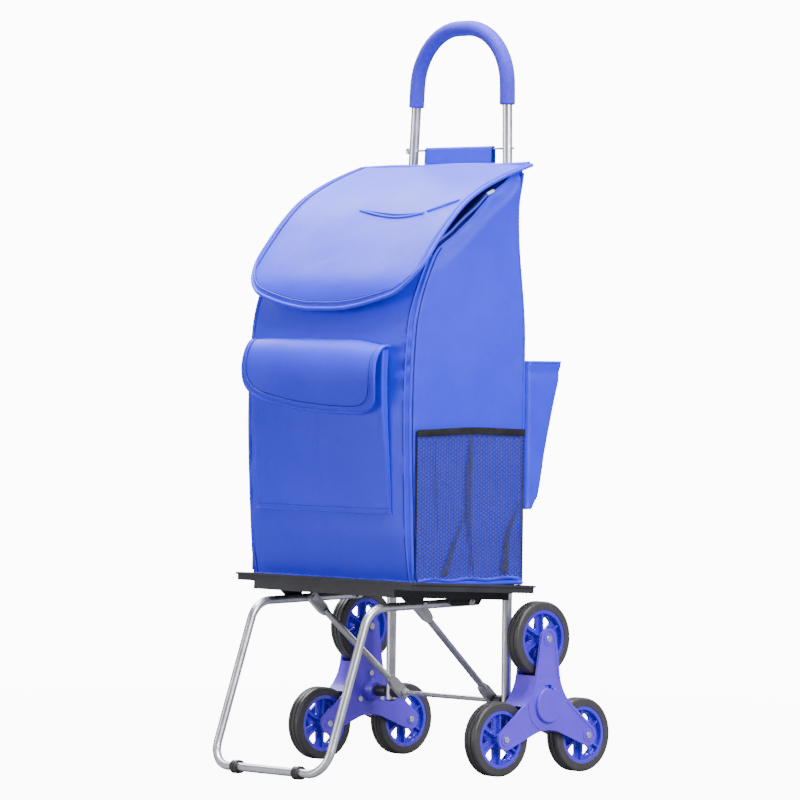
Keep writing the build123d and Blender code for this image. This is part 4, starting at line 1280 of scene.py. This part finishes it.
# ------------------------------------------------------------------ stage
# Each light has a name, a place and a width in metres, and a power in watts.
LIGHTS = (
    ("top", (0.0, -0.3, 3.9), 1.8, 330),
    ("right", (3.4, -0.2, 2.1), 1.8, 205),
    ("front_left", (-1.4, -3.8, 1.0), 2.0, 72),
    ("sheen", (-2.6, 0.5, 3.1), 2.6, 150),
    ("back", (0.8, 3.0, 2.2), 1.4, 40),
)
AIM = Vector((0, 0, 0.5))
WHITE = (1, 1, 1, 1)
BACKGROUND_GLOW, SOFT_GLOW = 12.0, 0.34
CAMERA_PLACE = (5.40518, -4.91560, 0.60041)
CAMERA_TURN, CAMERA_DOWN, CAMERA_ROLL = (math.radians(angle) for angle in (47.66, 0.67, 0.65))
CAMERA_LENS = 235.57


def make_stage():
    """Pale floor that fades into an even background, soft lights and the camera."""
    bm = bmesh.new()
    bmesh.ops.create_circle(bm, cap_ends=True, segments=96, radius=40)
    floor = bpy.data.objects.new("floor", to_mesh("floor", bm))
    bpy.context.scene.collection.objects.link(floor)
    finish = Finish("floor")
    x, y, _ = finish.axes(finish.place())
    away = ((x * x + y * y) ** 0.5).ramp(0.8, 2.4)
    seen = finish.node("ShaderNodeLightPath", out="Is Camera Ray")
    matt = finish.node("ShaderNodeBsdfDiffuse", inputs={"Color": (*colours().floor, 1)})
    glow = finish.node("ShaderNodeEmission", inputs={"Color": WHITE, "Strength": BACKGROUND_GLOW})
    clear = finish.node("ShaderNodeBsdfTransparent")
    near = finish.node("ShaderNodeMixShader", inputs={0: seen * 0.9, 1: matt, 2: glow})
    finish.node_out(finish.node("ShaderNodeMixShader", inputs={0: away, 1: near, 2: clear}))
    floor.data.materials.append(finish.material)
    world = bpy.context.scene.world or bpy.data.worlds.new("studio")
    bpy.context.scene.world = world
    studio = Finish("studio", world)
    soft = studio.node("ShaderNodeBackground", inputs={"Color": WHITE, "Strength": SOFT_GLOW})
    white = studio.node("ShaderNodeBackground", inputs={"Color": WHITE, "Strength": BACKGROUND_GLOW})
    seen = studio.node("ShaderNodeLightPath", out="Is Camera Ray")
    mixed = studio.node("ShaderNodeMixShader", inputs={0: seen, 1: soft, 2: white})
    studio.node_out(mixed, "ShaderNodeOutputWorld")
    for light in LIGHTS:
        add_light(*light)


def add_light(name, place, size, power):
    """Round area light turned towards the trolley's middle."""
    data = bpy.data.lights.new(name, "AREA")
    data.shape = "DISK"
    data.size = size
    data.energy = power
    light = bpy.data.objects.new(name, data)
    light.location = place
    light.rotation_euler = (AIM - Vector(place)).to_track_quat("-Z", "Y").to_euler()
    bpy.context.scene.collection.objects.link(light)


def make_camera():
    """Long-lens camera in front of the trolley's right corner, level with its middle."""
    turn, down, roll = CAMERA_TURN, CAMERA_DOWN, CAMERA_ROLL
    forward = Vector((-math.sin(turn) * math.cos(down), math.cos(turn) * math.cos(down), -math.sin(down)))
    right = Vector((math.cos(turn), math.sin(turn), 0))
    up = right.cross(forward)
    side = math.cos(roll) * right + math.sin(roll) * up
    top = -math.sin(roll) * right + math.cos(roll) * up
    data = bpy.data.cameras.new("camera")
    data.lens = CAMERA_LENS
    data.sensor_width = 36.0
    data.clip_end = 200
    camera = bpy.data.objects.new("camera", data)
    pose = Matrix((side, top, -forward)).transposed().to_4x4()
    camera.matrix_world = Matrix.Translation(CAMERA_PLACE) @ pose
    bpy.context.scene.collection.objects.link(camera)
    bpy.context.scene.camera = camera


# ------------------------------------------------------------------ operators
def operator(idname, label, doc, *steps):
    """An operator class that runs the steps of one group of pieces."""
    def execute(self, context):
        for step in steps:
            step()
        return {"FINISHED"}
    name = "TROLLEY_OT_" + idname
    return type(name, (bpy.types.Operator,), {
        "bl_idname": "trolley." + idname, "bl_label": label, "__doc__": doc, "execute": execute,
    })


def make_nets():
    """The two side nets."""
    make_net(1, "right")
    make_net(-1, "left")


OPERATORS = (
    operator("finishes", "Finishes", "Write the cloth, metal, plastic and rubber materials", make_finishes),
    operator("frame_parts", "Frame", "Finish the handle, leg, struts and axle", make_frame_parts),
    operator("platform_parts", "Platform", "Finish the moulded platform", make_platform_parts),
    operator("wheel_parts", "Wheels", "Finish the spiders, hubs and tyres", make_wheel_parts),
    operator("bag", "Bag", "Sew the bag's walls, base and piping",
             make_bag_walls, make_bag_base, make_piping),
    operator("lid", "Lid", "Sew the lid, its binding and its welt", make_lid, make_lid_welt),
    operator("front_pocket", "Front pocket", "Sew the front pocket and its flap",
             make_front_pocket, make_flap),
    operator("nets", "Side nets", "Make the net pockets with their folds and tape", make_nets),
    operator("back_details", "Back details", "Sew the umbrella pocket, tab, loops and cord",
             make_back_pocket, make_tab, make_loops, make_drawcord),
    operator("folding", "Folding", "Let the sewn pieces fold flat with the platform", fold_sewn_pieces),
    operator("stage", "Stage", "Set the floor, lights and camera", make_stage, make_camera),
)


class TROLLEY_PT_panel(bpy.types.Panel):
    """Lists the trolley's groups, sizes and colours."""

    bl_label = "Trolley"
    bl_space_type = "VIEW_3D"
    bl_region_type = "UI"
    bl_category = "Trolley"

    def draw(self, context):
        for made in OPERATORS:
            self.layout.operator(made.bl_idname)
        for group in (colours(), sizes()):
            for key in group.__annotations__:
                self.layout.prop(group, key)


CLASSES = (TrolleyColours, TrolleySizes, *OPERATORS, TROLLEY_PT_panel)


def register():
    for made in CLASSES:
        bpy.utils.register_class(made)
    bpy.types.Scene.trolley_colours = bpy.props.PointerProperty(type=TrolleyColours)
    bpy.types.Scene.trolley_sizes = bpy.props.PointerProperty(type=TrolleySizes)


def unregister():
    del bpy.types.Scene.trolley_sizes
    del bpy.types.Scene.trolley_colours
    for made in reversed(CLASSES):
        bpy.utils.unregister_class(made)


def main():
    register()
    for made in OPERATORS:
        getattr(bpy.ops.trolley, made.bl_idname.split(".")[1])()
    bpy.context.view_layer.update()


if __name__ == "__main__":
    main()
